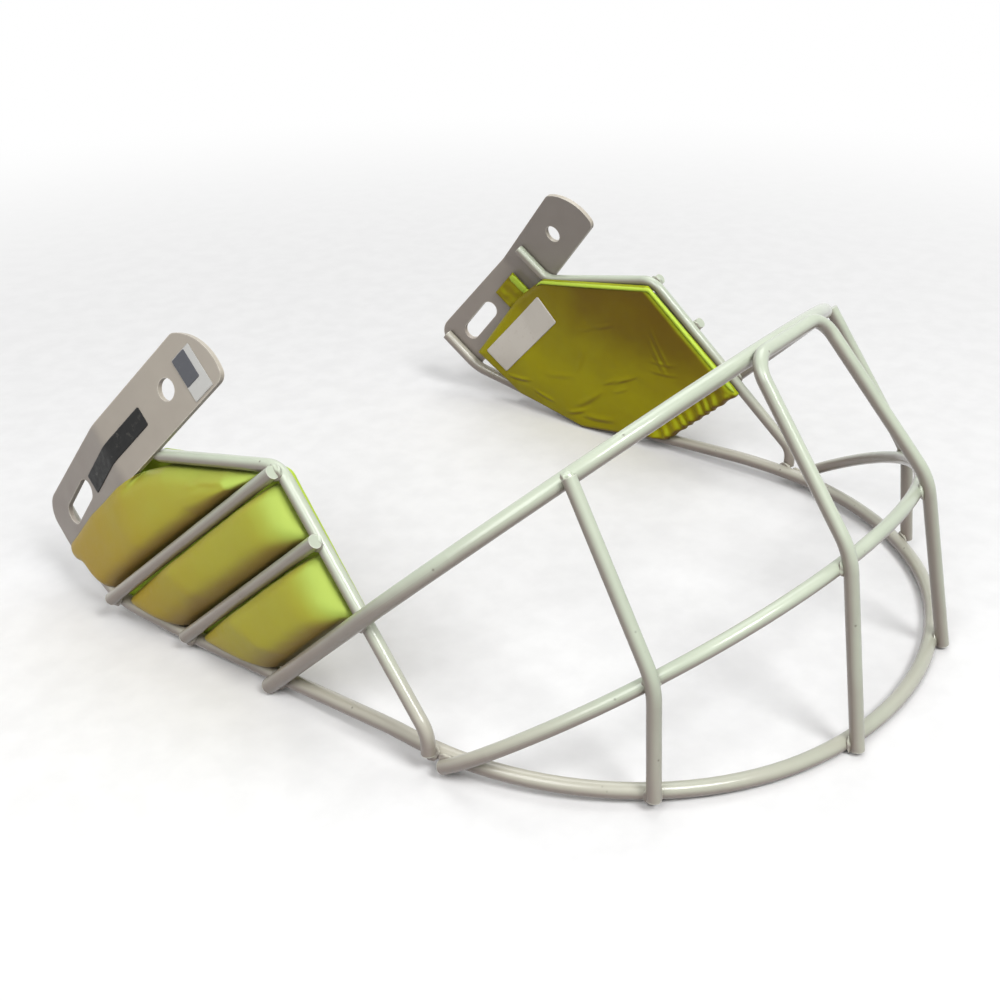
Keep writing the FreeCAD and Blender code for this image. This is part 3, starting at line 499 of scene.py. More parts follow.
def makeCover(name):
    settings = coverSettings[name]
    material, tree, shader = startMaterial(name)
    cloth = placed(tree, satinCloth, Thread_Scale=settings["thread"], Mottle_Scale=70.0)
    mottle = rangeNode(tree, cloth["Mottle"], 0.3, 0.72)
    colour = tinted(tree, settings["colour"], mottle, 0.4, settings["light"])
    # painted shade: darker and browner towards the rear of the lobes and the top of the lining
    way, start, full = settings["fadeShadeWay"]
    fadeShade = placed(tree, fadeAlong, Direction=way, Start=start, Full=full)["Mask"]
    colour = tinted(tree, colour, fadeShade, 0.8, settings["fadeShade"])
    # painted shade: faces turned down go brown
    under = placed(tree, towards, Direction=(0.0, 0.55, -0.835), Start=0.02, Full=0.8)["Mask"]
    colour = tinted(tree, colour, under, 0.9, settings["shade"])
    # painted light: faces turned to the key lamp, the noses, go lighter and lime
    nose = placed(tree, towards, Direction=(0.0, 0.742, 0.671), Start=-0.05, Full=0.8)["Mask"]
    colour = tinted(tree, colour, nose, 0.9, settings["lime"])
    # painted shade: near black where the cover is shut in, as beside the bars
    creviceDark = placed(tree, crevice, Reach=0.0022, Grain_Scale=300.0)["Mask"]
    colour = tinted(tree, colour, creviceDark, 0.55, (0.035, 0.022, 0.008))
    tree.links.new(colour, shader.inputs["Base Color"])
    low, high = settings["roughness"]
    tree.links.new(rangeNode(tree, cloth["Grain"], 0.25, 0.75, low, high), shader.inputs["Roughness"])
    shader.inputs["Metallic"].default_value = settings["metallic"]
    shader.inputs["Sheen Weight"].default_value = settings["sheen"]
    shader.inputs["Sheen Roughness"].default_value = 0.4
    shader.inputs["Sheen Tint"].default_value = (0.9, 1.0, 0.6, 1)
    shader.inputs["Specular IOR Level"].default_value = 0.16
    addBump(tree, shader, cloth["Height"], 0.35, settings["bump"])
    return material


labelSettings = {
    "labelBlack": {"colour": (0.012, 0.012, 0.012), "edge": (0.25, 0.24, 0.21), "roughness": 0.38},
    "labelSilver": {"colour": (0.62, 0.62, 0.6), "edge": (0.33, 0.33, 0.32), "roughness": 0.32},
    "labelGrey": {"colour": (0.115, 0.12, 0.135), "edge": (0.3, 0.3, 0.3), "roughness": 0.34},
    "labelWhite": {"colour": (0.7, 0.66, 0.6), "edge": (0.42, 0.36, 0.26), "roughness": 0.55},
}


def makeLabel(name):
    settings = labelSettings[name]
    material, tree, shader = startMaterial(name)
    place = objectPlace(tree)
    scuffs = rangeNode(tree, noiseNode(tree, place, 320.0, 6.0, 0.7, 0.6), 0.56, 0.7)
    worn = placed(tree, edgeWear, Reach=0.00008, Grain_Scale=900.0)["Mask"]
    rubbed = mathNode(tree, "MAXIMUM", mathNode(tree, "MULTIPLY", scuffs, 0.25), worn)
    colour = mixNode(tree, rubbed, settings["colour"], settings["edge"])
    tree.links.new(colour, shader.inputs["Base Color"])
    smooth = settings["roughness"]
    rough = rangeNode(tree, noiseNode(tree, place, 500.0), 0.3, 0.7, smooth, smooth + 0.15)
    tree.links.new(rough, shader.inputs["Roughness"])
    shader.inputs["Specular IOR Level"].default_value = 0.25
    addBump(tree, shader, noiseNode(tree, place, 1200.0, 3.0), 0.25, 0.00004)
    return material


materials = {name: makePaint(name) for name in paintSettings}
materials.update({name: makeCover(name) for name in coverSettings})
materials.update({name: makeLabel(name) for name in labelSettings})
print("materials made:", len(materials))


# Rods and plates keep their CAD shape, and take the paint
for name, node in cadNodes.items():
    if name.startswith("side_plate"):
        finish = "platePaint"
    elif name.startswith("cheek_pad"):
        finish = "padCover"
    elif name.startswith("pad_"):
        finish = "padLining"
    else:
        finish = "rodPaint"
    for place in node.material_slots:
        place.material = materials[finish]
print("steel painted")


# Weld beads: where each pair of rods meets, and the way from one to the other
weldSettings = {
    "crossings": {
        "front_chin": ((103.54, 35.53, 5.57), (-0.928, -0.193, -0.319), 2.5),
        "front_brow": ((103.31, 11.96, 36.39), (0.994, -0.049, 0.099), 2.7),
        "brow_chin": ((103.73, -21.19, 4.13), (-0.999, 0.022, -0.048), 2.9),
        "upper_front": ((97.87, -20.97, 68.23), (-0.986, 0.019, -0.166), 2.5),
        "upper_chin": ((106.8, -89.28, 7.73), (-0.945, -0.128, -0.302), 2.6),
        "lower_front": ((100.36, -5.07, 53.26), (-0.991, 0.059, -0.124), 2.5),
        "lower_chin": ((104.28, -58.63, 4.14), (-0.893, -0.018, -0.45), 2.6),
        "middle_chin": ((103.09, 40.46, 4.25), (-0.956, -0.174, 0.236), 2.7),
        "upright_brow": ((73.7, 56.6, 80.18), (-0.612, -0.623, -0.488), 1.9),
        "upright_middle": ((79.02, 86.03, 34.89), (-0.734, -0.618, -0.282), 2.5),
        "upright_chin": ((81.45, 89.88, 3.51), (-0.794, -0.594, -0.129), 2.6),
        "loop_middle": ((26.41, 111.07, 51.8), (-0.207, -0.938, -0.278), 2.6),
        "loop_chin": ((30.88, 121.05, 2.72), (-0.087, -0.973, -0.212), 2.6),
    },
    "thickness": 1.0,
    "unevenness": 0.16,
}


def beadShape(bead, place, axis, reach, seed, side):
    # a flattened drop of weld metal, uneven as paint leaves it
    turned = Vector((0, 0, 1)).rotation_difference(Vector(axis)).to_matrix()
    drop = Vector((reach, reach, weldSettings["thickness"]))
    for vertex in bmesh.ops.create_icosphere(bead, subdivisions=4, radius=1.0)["verts"]:
        direction = vertex.co.normalized()
        swell = 1 + weldSettings["unevenness"] * noise.noise(direction * 1.9 + Vector((seed, 0, 0)))
        vertex.co = onSide(Vector(place) + turned @ (direction * drop * swell), side)


def makeWeldBeads(side):
    bead = bmesh.new()
    for number, (place, axis, reach) in enumerate(weldSettings["crossings"].values()):
        beadShape(bead, place, axis, reach, number * 3.7, side)
    mesh = bpy.data.meshes.new("weld_beads_" + side)
    if side == "left":
        bmesh.ops.reverse_faces(bead, faces=bead.faces[:])
    bead.to_mesh(mesh)
    bead.free()
    mesh.materials.append(materials["rodPaint"])
    mesh.polygons.foreach_set("use_smooth", [True] * len(mesh.polygons))
    piece = linked("weld_beads_" + side, mesh)
    return piece


beads = [makeWeldBeads(side) for side in sides]
print("weld beads laid")


# Pad backing: padded sheet behind the lobes, its lining creased, its hem gathered in pleats
backingSettings = {
    "right": {
        "tops": [(-1.6, 0.6, -0.02), (-42.6, -26.2, 5), (-64, -28.2, 7.2), (-102, -19.5, 4.85)],
        "bottoms": [(0.6, 48.7, -0.02), (-39.4, 49.2, -0.02), (-72, 24.8, 2.6), (-93.4, 0.6, 8.2)],
        "pleatHeight": 0.25,
        "seed": 5,
    },
    "left": {
        "tops": [(-1, 0.4, -0.02), (-42.6, -26.6, 5), (-60, -27.4, 7), (-93, -20.5, 4.85)],
        "bottoms": [(3.2, 52.8, -0.3), (-36.5, 53.2, -0.3), (-68.6, 31.4, 2.6), (-89.6, 4.2, 7.8)],
        "pleatHeight": 0.6,
        "seed": 0,
    },
    "stations": (0, 0.4, 0.66, 1),
    "thickness": 3,
    "roundedEdge": 2.6,
    "puff": 0.7,
    "puffReach": 22,
    "waves": (0.35, 0.07),  # height and scale
    "ripples": (0.08, 0.25),
    "along": 190,
    "across": 130,
    "pleatLength": 4.8,
    "pleatDown": (43.5, 49.5),  # where the pleats begin and are full
    "pleatAlong": (-46, -39),
    "pleatWander": 1.1,
    # along, down, turn in degrees, length, width, height
    "creases": [
        (-41, 21.5, 8, 8, 0.75, 0.36), (-37, 23.4, 10, 9, 0.75, 0.38), (-33, 24.8, 12, 8, 0.7, 0.32),
        (-39.5, 26.8, 14, 7, 0.7, 0.28), (-56, 22.6, 4, 15, 1.1, 0.42), (-28, 2.6, 22, 9, 0.8, 0.24),
        (-36, -0.5, 18, 6, 0.7, 0.18), (-12.5, 22, 102, 16, 0.7, 0.24), (-15.7, 24, 102, 14, 0.7, 0.22),
        (-17.5, 30.5, 41, 11, 0.7, 0.22), (-15.5, 27, 41, 10, 0.7, 0.2), (-82, -1, 38, 10, 0.9, 0.45),
        (-76, 11, 58, 9, 0.9, 0.42), (-65.5, 23.8, 20, 9, 0.9, 0.42), (-58, 31, 36, 14, 1.2, 0.45),
        (-48, 8, -30, 10, 1.1, 0.2), (-24, 40, 5, 12, 1, 0.26), (-62, 8, 30, 12, 1.2, 0.22),
    ],
}


def edgeLine(points, stations, shares):
    # line through the stations, with its corners a little rounded
    dense = np.linspace(0, 1, 401)
    line = softLine(lineAt(np.array(points, float), stations, dense), 15)
    return lineAt(line, dense, shares)


def creaseLift(along, down, creases):
    # each crease is a low ridge with a shallow trough beside it, a little curved
    lift = np.zeros_like(along)
    for place, depth, turn, length, width, height in creases:
        angle = math.radians(turn)
        run = (along - place) * math.cos(angle) + (down - depth) * math.sin(angle)
        off = -(along - place) * math.sin(angle) + (down - depth) * math.cos(angle)
        off = off + 0.12 * length * (run / length) ** 2
        window = np.exp(-(run / (0.5 * length)) ** 4)
        ridge, trough = np.exp(-(off / width) ** 2), np.exp(-((off - 1.6 * width) / width) ** 2)
        lift += height * window * (ridge - 0.45 * trough)
    return lift


def backingGrid(side):
    # the backing's outline and the heights of its two faces, in the pad's frame
    settings = backingSettings
    own = settings[side]
    shares = np.linspace(0, 1, settings["along"])
    drop = np.linspace(0, 1, settings["across"])[None, :]
    tops = edgeLine(own["tops"], settings["stations"], shares)
    bottoms = edgeLine(own["bottoms"], settings["stations"], shares)
    grid = tops[:, None, :] * (1 - drop)[..., None] + bottoms[:, None, :] * drop[..., None]
    along, down, face = grid[..., 0], grid[..., 1], grid[..., 2]
    across = np.linalg.norm(bottoms - tops, axis=1)[:, None]
    run = runAlong((tops + bottoms) / 2)[:, None]
    rim = np.minimum(np.minimum(drop * across, (1 - drop) * across), np.minimum(run, run[-1] - run))
    depth = settings["thickness"] * roundedRim(rim, settings["roundedEdge"])
    depth = depth + settings["puff"] * smoothStep(0, settings["puffReach"], rim)
    seed = own["seed"]
    lift = creaseLift(along, down, settings["creases"])
    waves, ripples = settings["waves"], settings["ripples"]
    lift += (waves[0] * noiseGrid(along, down, waves[1], seed)
             + ripples[0] * noiseGrid(along, down, ripples[1], seed + 3))
    depth = depth + lift * smoothStep(0.5, 5, rim)
    hem = smoothStep(*settings["pleatDown"], down) * smoothStep(*settings["pleatAlong"], along)
    wander = settings["pleatWander"] * noiseGrid(along, down * 0.2, 0.12, seed + 1)
    folds = np.sin(2 * math.pi * (along / settings["pleatLength"] + wander + 0.05 * (down - 50)))
    size = 0.75 + 0.5 * noiseGrid(along, down * 0, 0.2, seed + 6)
    pleats = own["pleatHeight"] * hem * folds * size
    depth = np.maximum(depth - 1.1 * hem * smoothStep(1, 8, rim), 0.05)
    inner = face - depth + pleats * smoothStep(0, 1.2, rim)
    outer = face + 0.35 * pleats - 0.2 * hem
    down = down + hem * own["pleatHeight"] * 0.5 * (folds * size - 0.2) * smoothStep(48, 52, down)
    return {"along": along, "down": down, "outer": outer, "inner": np.minimum(inner, outer - 0.05)}


def backingHeight(grid, along, down, face):
    # height of the backing's outer or inner face at places in the pad's frame
    step = 3
    spots = np.stack([grid[key][::step, ::step].ravel() for key in ("along", "down")], 1)
    heights = grid[face][::step, ::step].ravel()
    wanted = np.stack([along.ravel(), down.ravel()], 1)
    found = np.zeros(len(wanted))
    for i, spot in enumerate(wanted):
        distance = ((spots - spot) ** 2).sum(1)
        near = np.argpartition(distance, 4)[:4]
        weight = 1 / (distance[near] + 0.01)
        found[i] = (heights[near] * weight).sum() / weight.sum()
    return found.reshape(along.shape)


def makeBacking(side, grid):
    heights = (grid["outer"], grid["inner"])
    piece = padSheet("backing_" + side, grid["along"], grid["down"], heights, materials["padLining"], side)
    piece.data.materials.append(materials["limeEdge"])
    out = (padMatrix.to_3x3() @ Vector((0, 0, 1))) * Vector((1 if side == "right" else -1, 1, 1))
    for face in piece.data.polygons:
        face.material_index = 1 if face.normal.dot(out) > 0.3 else 0  # the outer face shows the cover
    return padPiece(piece, "pad_backing_" + side)


backings = {side: backingGrid(side) for side in sides}
backingPieces = [makeBacking(side, backings[side]) for side in sides]
print("backings made")


# Cheek pad lobes: foam loaves between the bars, drawn in the pad's frame, then blown up a little
lobeSettings = {
    "upper": {
        # along, down, and how far the face stands out, at the side next to the front rod and the plate
        "tops": [(-9.4, -3, 6.4), (-26, -12.6, 9.2), (-40, -20.6, 11.2), (-48, -23.3, 12.6),
                 (-60, -24.2, 14.4), (-82, -24.4, 14.2), (-106.2, -22.4, 12.7)],
        "bottoms": [(-9.4, -1.3, 9.8), (-30, -1.3, 12.9), (-61.8, -1.3, 15.7), (-98.8, -1.3, 13.4)],
        "shoulder": 5, "bevel": 8.5, "nose": 12, "heel": 9,
        "cornerTopFront": 1.5, "cornerTopRear": 3.5, "cornerLowFront": 0.3, "cornerLowRear": 9,
        "crown": 0.7,
        # small folds in the cover: along, down, turn in degrees, length, width, height
        "folds": [(-20.5, -7, 28, 12, 1.1, 0.38), (-27.5, -9.4, 12, 6, 0.9, 0.22)],
    },
    "middle": {
        "tops": [(-1.9, 3.2, 10.2), (-56.1, 3.2, 15.1), (-90.4, 3.2, 13)],
        "bottoms": [(-0.8, 20.9, 10.1), (-46.3, 21.2, 12), (-75.4, 21.3, 9.4)],
        "shoulder": 4.2, "bevel": 8.5, "nose": 14, "heel": 9,
        "cornerTopFront": 2.6, "cornerTopRear": 3, "cornerLowFront": 2.2, "cornerLowRear": 7.5,
        "crown": 0.9,
        "folds": [],
    },
    "lower": {
        "tops": [(-0.6, 25.3, 10.1), (-43, 25.5, 11.9), (-69.6, 25.7, 8.4)],
        "bottoms": [(0.5, 44.8, 10.9), (-28, 45.8, 10.6), (-46.6, 46.6, 6.2)],
        "shoulder": 4.4, "bevel": 9, "nose": 14.5, "heel": 9,
        "cornerTopFront": 3, "cornerTopRear": 2.8, "cornerLowFront": 2.4, "cornerLowRear": 9,
        "crown": 0.9,
        "folds": [],
    },
    "leftUpperRear": -9,  # on the left the upper lobe stops short of the chin rod
    "along": 110,
    "across": 46,
    "evenShare": 0.45,
    "fullness": 2.7,
    "aboveBacking": 0.15,
    "abovePlate": (0.2, 1.9),  # least height of the base and of the face where the lobe lies over the plate
    "plateMargin": 0.25,
    "inflate": 0.35,  # room that is left for the pressure
    "pressure": 4,
    "frames": 12,
    "simulationScale": 10,
    "cap": 0.35,
    "dentHeight": 0.14,
    "dentSeed": {"right": 3.1, "left": 8.4},
}


def limitLine(points, along, k):
    points = sorted(points)
    return np.interp(along, [point[0] for point in points], [point[k] for point in points])


def plateOuter(along, down, guess):
    # how far out the plate's outer face stands here, and whether the plate reaches here
    spot = plateMatrix.inverted() @ (padMatrix @ Vector((along, down, guess)))
    margin = lobeSettings["plateMargin"]
    off = spot.x - plateFrame["halfThickness"]
    reached = spot.y < plateFrame["halfWidth"] + margin
    if spot.z <= plateCrease:
        fall = -off * math.sin(plateTurn) - (spot.z - plateCrease) * math.cos(plateTurn)
        off = off * math.cos(plateTurn) - (spot.z - plateCrease) * math.sin(plateTurn)
        reached = reached and fall < plateFrame["footBelowBend"] + margin
    return guess - off / 0.99, reached  # the plate stands almost square to the pad's out axis


def lobeGrid(which, side):
    settings = lobeSettings[which]
    rows, columns = lobeSettings["along"], lobeSettings["across"]
    front = (settings["tops"][0][0], settings["bottoms"][0][0])
    rear = (settings["tops"][-1][0], settings["bottoms"][-1][0])
    if which == "upper" and side == "left":
        rear = tuple(end - lobeSettings["leftUpperRear"] for end in rear)
    spread = (1 - np.cos(np.linspace(0, math.pi, rows))) / 2
    even = lobeSettings["evenShare"]
    spread = (1 - even) * spread + even * np.linspace(0, 1, rows)
    drop = (1 - np.cos(np.linspace(0, math.pi, columns))) / 2
    along, down, face, shape = np.zeros((4, rows, columns))
    full = lobeSettings["fullness"]
    for i, share in enumerate(spread):
        topAlong = front[0] + (rear[0] - front[0]) * share
        lowAlong = front[1] + (rear[1] - front[1]) * share
        length = abs(rear[0] + rear[1] - front[0] - front[1]) / 2
        fromFront, fromRear = share * length, (1 - share) * length
        top = limitLine(settings["tops"], topAlong, 1)
        low = limitLine(settings["bottoms"], lowAlong, 1)
        width = low - top
        top += min(width * 0.4, cornerPull(fromFront, settings["cornerTopFront"])
                   + cornerPull(fromRear, settings["cornerTopRear"]))
        low -= min(width * 0.4, cornerPull(fromFront, settings["cornerLowFront"])
                   + cornerPull(fromRear, settings["cornerLowRear"]))
        along[i] = topAlong + (lowAlong - topAlong) * drop
        down[i] = top + (low - top) * drop
        topFace = limitLine(settings["tops"], topAlong, 2)
        lowFace = limitLine(settings["bottoms"], lowAlong, 2)
        face[i] = topFace + (lowFace - topFace) * drop + settings["crown"] * np.sin(math.pi * drop)
        span = low - top
        rise = roundOver(drop * span, min(settings["shoulder"], 0.42 * span), full)
        rise = rise * roundOver((1 - drop) * span, min(settings["bevel"], 0.5 * span), full)
        rise = rise * roundOver(fromFront, settings["nose"], full)
        rise = rise * roundOver(fromRear, settings["heel"], full)
        shape[i] = rise * min(1, width / 6.0)
    return along, down, face, shape


def makeLobe(which, side, backing):
    settings = lobeSettings
    along, down, face, shape = lobeGrid(which, side)
    base = backingHeight(backing, along, down, "outer") + settings["aboveBacking"]
    if which == "upper":
        for spot in np.ndindex(along.shape):
            outer, reached = plateOuter(along[spot], down[spot], face[spot])
            if reached:
                base[spot] = max(base[spot], outer + settings["abovePlate"][0])
                face[spot] = max(face[spot], outer + settings["abovePlate"][1])
    soft, low = soften(face, 6), soften(base, 22)
    top = low + np.maximum(0, soft - low - settings["inflate"]) * shape
    top += creaseLift(along, down, settings[which]["folds"]) * shape
    top = np.maximum(top, base + 0.02)
    heights = (np.minimum(low, top - 0.02), top)
    piece = padSheet("lobe_%s_%s" % (which, side), along, down, heights, materials["padCover"], side)
    print("lobe", which, side, "moved %.2f mm" % (blowUp(piece, settings) / mm))
    dentLobe(piece, settings["dentSeed"][side], settings["dentHeight"])
    finer = piece.modifiers.new("finer", "SUBSURF")
    finer.levels = 1
    finer.render_levels = 1
    applyModifiers(piece)
    return padPiece(piece, "cheek_pad_%s_%s" % (which, side))


def blowUp(piece, settings):
    # pressure from inside on a larger copy, kept to a small movement
    before = readPoints(piece.data) * settings["simulationScale"]
    writePoints(piece.data, before)
    cloth = piece.modifiers.new("cloth", "CLOTH")
    cloth.settings.use_pressure = True
    cloth.settings.uniform_pressure_force = settings["pressure"]
    cloth.settings.effector_weights.gravity = 0
    cloth.settings.quality = 6
    cloth.settings.tension_stiffness = 12
    cloth.settings.bending_stiffness = 1.5
    cloth.collision_settings.use_collision = False
    cloth.point_cache.frame_start = 1
    cloth.point_cache.frame_end = settings["frames"]
    for number in range(1, settings["frames"] + 1):
        bpy.context.scene.frame_set(number)
    applyModifiers(piece)
    bpy.context.scene.frame_set(1)
    moved = readPoints(piece.data) - before
    distance = np.linalg.norm(moved, axis=1, keepdims=True)
    cap = settings["cap"] * mm * settings["simulationScale"]
    moved *= cap / (cap + distance)
    writePoints(piece.data, (before + moved) / settings["simulationScale"])
    return distance.mean() / settings["simulationScale"]


def dentLobe(piece, seed, height):
    points = readPoints(piece.data)
    normals = np.zeros(len(points) * 3)
    piece.data.vertices.foreach_get("normal", normals)
    normals = normals.reshape(-1, 3)
    lift = np.zeros(len(points))
    for i, point in enumerate(points):
        spot = Vector(point / mm)
        broad = noise.noise(spot * 0.09 + Vector((seed, 0, 0)))
        small = noise.noise(spot * 0.32 + Vector((0, seed, 0)))
        lift[i] = broad + 0.35 * small
    writePoints(piece.data, points + normals * (lift * height * mm)[:, None])


lobes = [makeLobe(which, side, backings[side]) for which in ("upper", "middle", "lower") for side in sides]
print("lobes made:", len(lobes))


# Rolled edge of the cover, which shows lime round the backing's top and front
rimSettings = {
    "right": {
        "path": [(-60, -26.6, 5.6), (-52, -26.4, 5), (-42.8, -25.6, 3.9), (-22, -12.2, 1.4),
                 (-3, 0.1, -0.9), (-1.4, 2, -1.2), (-1.2, 14, -1.3), (-0.8, 30, -1.3), (-0.4, 42, -1.3),
                 (-0.2, 47.6, -1.4)],
        "halfWidth": 0.9,
        "halfDepth": 1.1,
    },
    "left": {
        "path": [(-46, -26.2, 3.2), (-42.4, -25.9, 2.4), (-22, -12.6, -0.4), (-3.2, -0.1, -2),
                 (-0.4, 1.8, -2.2), (0.6, 14, -2.4), (1.6, 30, -2.4), (2.4, 42, -2.4), (2.8, 50.8, -2.2)],
        "halfWidth": 0.75,
        "halfDepth": 0.85,
    },
    "around": 20,
    "steps": 240,
    "ends": (0.05, 0.03),  # shares of the length over which the ends taper
}


def smoothRoute(points, steps):
    points = np.array(points, float)
    lengths = runAlong(points)
    line = softLine(lineAt(points, lengths, np.linspace(0, lengths[-1], 600)), 21)
    return lineAt(line, np.arange(len(line)), np.linspace(0, len(line) - 1, steps))


def makeRim(side):
    settings = rimSettings[side]
    line = smoothRoute(settings["path"], rimSettings["steps"])
    around = rimSettings["around"]
    opening, closing = rimSettings["ends"]
    points = []
    for i, spot in enumerate(line):
        heading = line[min(i + 1, len(line) - 1)] - line[max(i - 1, 0)]
        heading /= np.linalg.norm(heading)
        outward = np.cross(heading, (0, 0, 1.0))
        outward /= np.linalg.norm(outward)
        up = np.cross(outward, heading)
        share = i / (len(line) - 1)
        taper = max(0.05, math.sqrt(min(1, share / opening, (1 - share) / closing)))
        pucker = 1 + 0.14 * noise.noise(Vector((i * 0.21, 2, 0)))
        pucker += 0.07 * noise.noise(Vector((i * 0.8, 5, 0)))
        for k in range(around):
            angle = 2 * math.pi * k / around
            wide = settings["halfWidth"] * taper * pucker * math.cos(angle)
            deep = settings["halfDepth"] * taper * math.sin(angle)
            points.append(padPoint(*(spot + outward * wide + up * deep), side))
    piece = makeTube("cover_edge_" + side, points, around, materials["limeEdge"], side)
    return padPiece(piece)


rims = [makeRim(side) for side in sides]
print("cover edges made")


# Tab of the lining on the inner face of the plate: corners along, down and out of the pad's frame
tabSettings = {
    "rear": [(-57.5, -36.9, 10.3), (-70.3, -35.1, 9.6)],
    "knee": [(-56, -26.5, 10.4), (-68.8, -24.7, 9.7)],
    "root": [(-54.8, -20.6, 6.1), (-67.7, -18.7, 5.4)],
    "halfThickness": 0.85,
    "length": 16.5,
    "bendShare": 0.6,
    "roundedEdge": 1.1,
    "ripple": 0.45,
    "along": 60,
    "across": 44,
    "foldWidth": 3.2,
    "foldDepth": 0.9,
    "foldIn": 1.3,
    "foldSteps": 60,
    "foldAround": 16,
}


def makeTab(side):
    settings = tabSettings
    shares = np.linspace(0, 1, settings["along"])
    drop = np.linspace(0, 1, settings["across"])[None, :]
    stations = (0, settings["bendShare"], 1)
    corners = np.array([settings[key] for key in ("rear", "knee", "root")], float)
    front, back = [lineAt(corners[:, edge], stations, shares) for edge in (0, 1)]
    grid = front[:, None] * (1 - drop)[..., None] + back[:, None] * drop[..., None]
    along, down, face = grid[..., 0], grid[..., 1], grid[..., 2]
    across = np.linalg.norm(back - front, axis=1)[:, None]
    run = shares[:, None] * settings["length"]
    rim = np.minimum(np.minimum(drop * across, (1 - drop) * across), run)
    half = settings["halfThickness"] * roundedRim(rim, settings["roundedEdge"])
    ripple = settings["ripple"] * noiseGrid(along, down, 0.3, 7.0) * (rim > 0.5)
    heights = (face + half, face - half - ripple)
    piece = padSheet("tab_" + side, along, down, heights, materials["padLining"], side)
    return padPiece(piece, "pad_tab_" + side)


def makeTabFold(side):
    # the tab's upper border is turned over and shows the lime cover
    settings = tabSettings
    start, knee, root = [np.array(settings[key][0], float) for key in ("rear", "knee", "root")]
    steps, around = settings["foldSteps"], settings["foldAround"]
    points = []
    for i, spot in enumerate(smoothRoute([start + (0, 0.6, 0), knee, root + (0, -1.5, 0.4)], steps)):
        share = i / (steps - 1)
        taper = max(0.08, math.sqrt(min(1, share / 0.08, (1 - share) / 0.08)))
        size = taper * (1 + 0.25 * noise.noise(Vector((i * 0.3, 1, 0))))
        for k in range(around):
            angle = 2 * math.pi * k / around
            wide = settings["foldWidth"] * 0.5 * size * math.cos(angle) - settings["foldIn"]
            deep = settings["foldDepth"] * 0.5 * size * math.sin(angle) - settings["halfThickness"]
            points.append(padPoint(spot[0] + wide, spot[1], spot[2] + deep, side))
    piece = makeTube("tab_fold_" + side, points, around, materials["limeEdge"], side)
    return padPiece(piece)


tabs = [makeTab(side) for side in sides] + [makeTabFold(side) for side in sides]
print("tabs made")


# Blank stickers: width and height ranges on the plate, in the plate's own frame
stickerSettings = {
    "sticker_dark": {"forward": (-3.2, 3.2), "height": (-49.5, -12.5), "finish": "labelBlack", "lift": 0.05},
    "sticker_pale": {"forward": (-4.5, 9.8), "height": (7.2, 15.6), "finish": "labelSilver", "lift": 0.05},
    "sticker_grey": {"forward": (-4.3, 5.0), "height": (7.4, 13.2), "finish": "labelGrey", "lift": 0.2},
    "corner": 0.35,
    "thickness": 0.14,
    # corners of the white one on the lining of the left pad, along and down in the pad's frame
    "sticker_white": [(-48.0, -22.6), (-47.0, -9.9), (-86.0, -6.6), (-87.0, -18.6)],
    "whiteLength": 39,
    "whiteWidth": 13,
    "whiteCorner": 0.6,
    "rows": 90,
    "columns": 24,
}


def roundedGrid(low, high, lowZ, highZ, corner, rows, columns):
    grid = []
    middle, half = (low + high) / 2, (high - low) / 2
    for z in np.linspace(lowZ, highZ, rows):
        pull = float(cornerPull(min(z - lowZ, highZ - z), corner))
        row = middle + (np.linspace(low, high, columns) - middle) * (half - pull) / half
        grid.append([(x, z) for x in row])
    return grid


def makeSticker(name, settings):
    lift, thick = settings["lift"], stickerSettings["thickness"]
    rows, columns = stickerSettings["rows"], stickerSettings["columns"]
    grid = roundedGrid(*settings["forward"], *settings["height"], stickerSettings["corner"], rows, columns)
    points = []
    for height in (lift, lift + thick):
        for row in grid:
            for x, z in row:
                curl = 0.1 * max(0, noise.noise(Vector((x * 0.5, z * 0.4, 1.0)))) if height > lift else 0
                points.append(plateSurface(x, z, height + curl))
    return closedSheet(name, points, rows, columns, materials[settings["finish"]], "right")


def makePadSticker(name, grid):
    # it lies on the lining and takes its waves
    settings = stickerSettings
    corners = [np.array(corner, float) for corner in settings[name]]
    rows, columns = 80, 30
    along, down = np.zeros((rows, columns)), np.zeros((rows, columns))
    for i, share in enumerate(np.linspace(0, 1, rows)):
        reach = min(share, 1 - share) * settings["whiteLength"]
        pull = float(cornerPull(reach, settings["whiteCorner"])) / settings["whiteWidth"]
        for j, drop in enumerate(np.linspace(pull, 1 - pull, columns)):
            spot = (corners[0] * (1 - drop) + corners[1] * drop) * (1 - share)
            spot = spot + (corners[3] * (1 - drop) + corners[2] * drop) * share
            along[i, j], down[i, j] = spot
    face = soften(backingHeight(grid, along, down, "inner"), 4)
    return padSheet(name, along, down, (face - 0.12, face - 0.3), materials["labelWhite"], "left")


plateStickers = ("sticker_dark", "sticker_pale", "sticker_grey")
stickers = [makeSticker(name, stickerSettings[name]) for name in plateStickers]
stickers.append(makePadSticker("sticker_white", backings["left"]))
print("stickers laid")


# Every piece rides on the guard's one body
for piece in beads + lobes + backingPieces + rims + tabs + stickers:
    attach(piece, "root")


# Camera, floor and light
cameraSettings = {
    "place": (0.3079, 0.2139, 0.22395),
    "right": (-0.60315, 0.79761, -0.00487),
    "up": (-0.37682, -0.27956, 0.88309),
    "lens": 46.8,
    "sensor": 36.0,
}


def makeCamera(settings):
    data = bpy.data.cameras.new("camera")
    data.lens = settings["lens"]
    data.sensor_width = settings["sensor"]
    data.clip_start = 0.01
    camera = linked("camera", data)
    right = Vector(settings["right"]).normalized()
    back = right.cross(Vector(settings["up"])).normalized()
    up = back.cross(right)
    axes = Matrix((right, up, back)).transposed().to_4x4()
    camera.matrix_world = Matrix.Translation(Vector(settings["place"])) @ axes
    bpy.context.scene.camera = camera


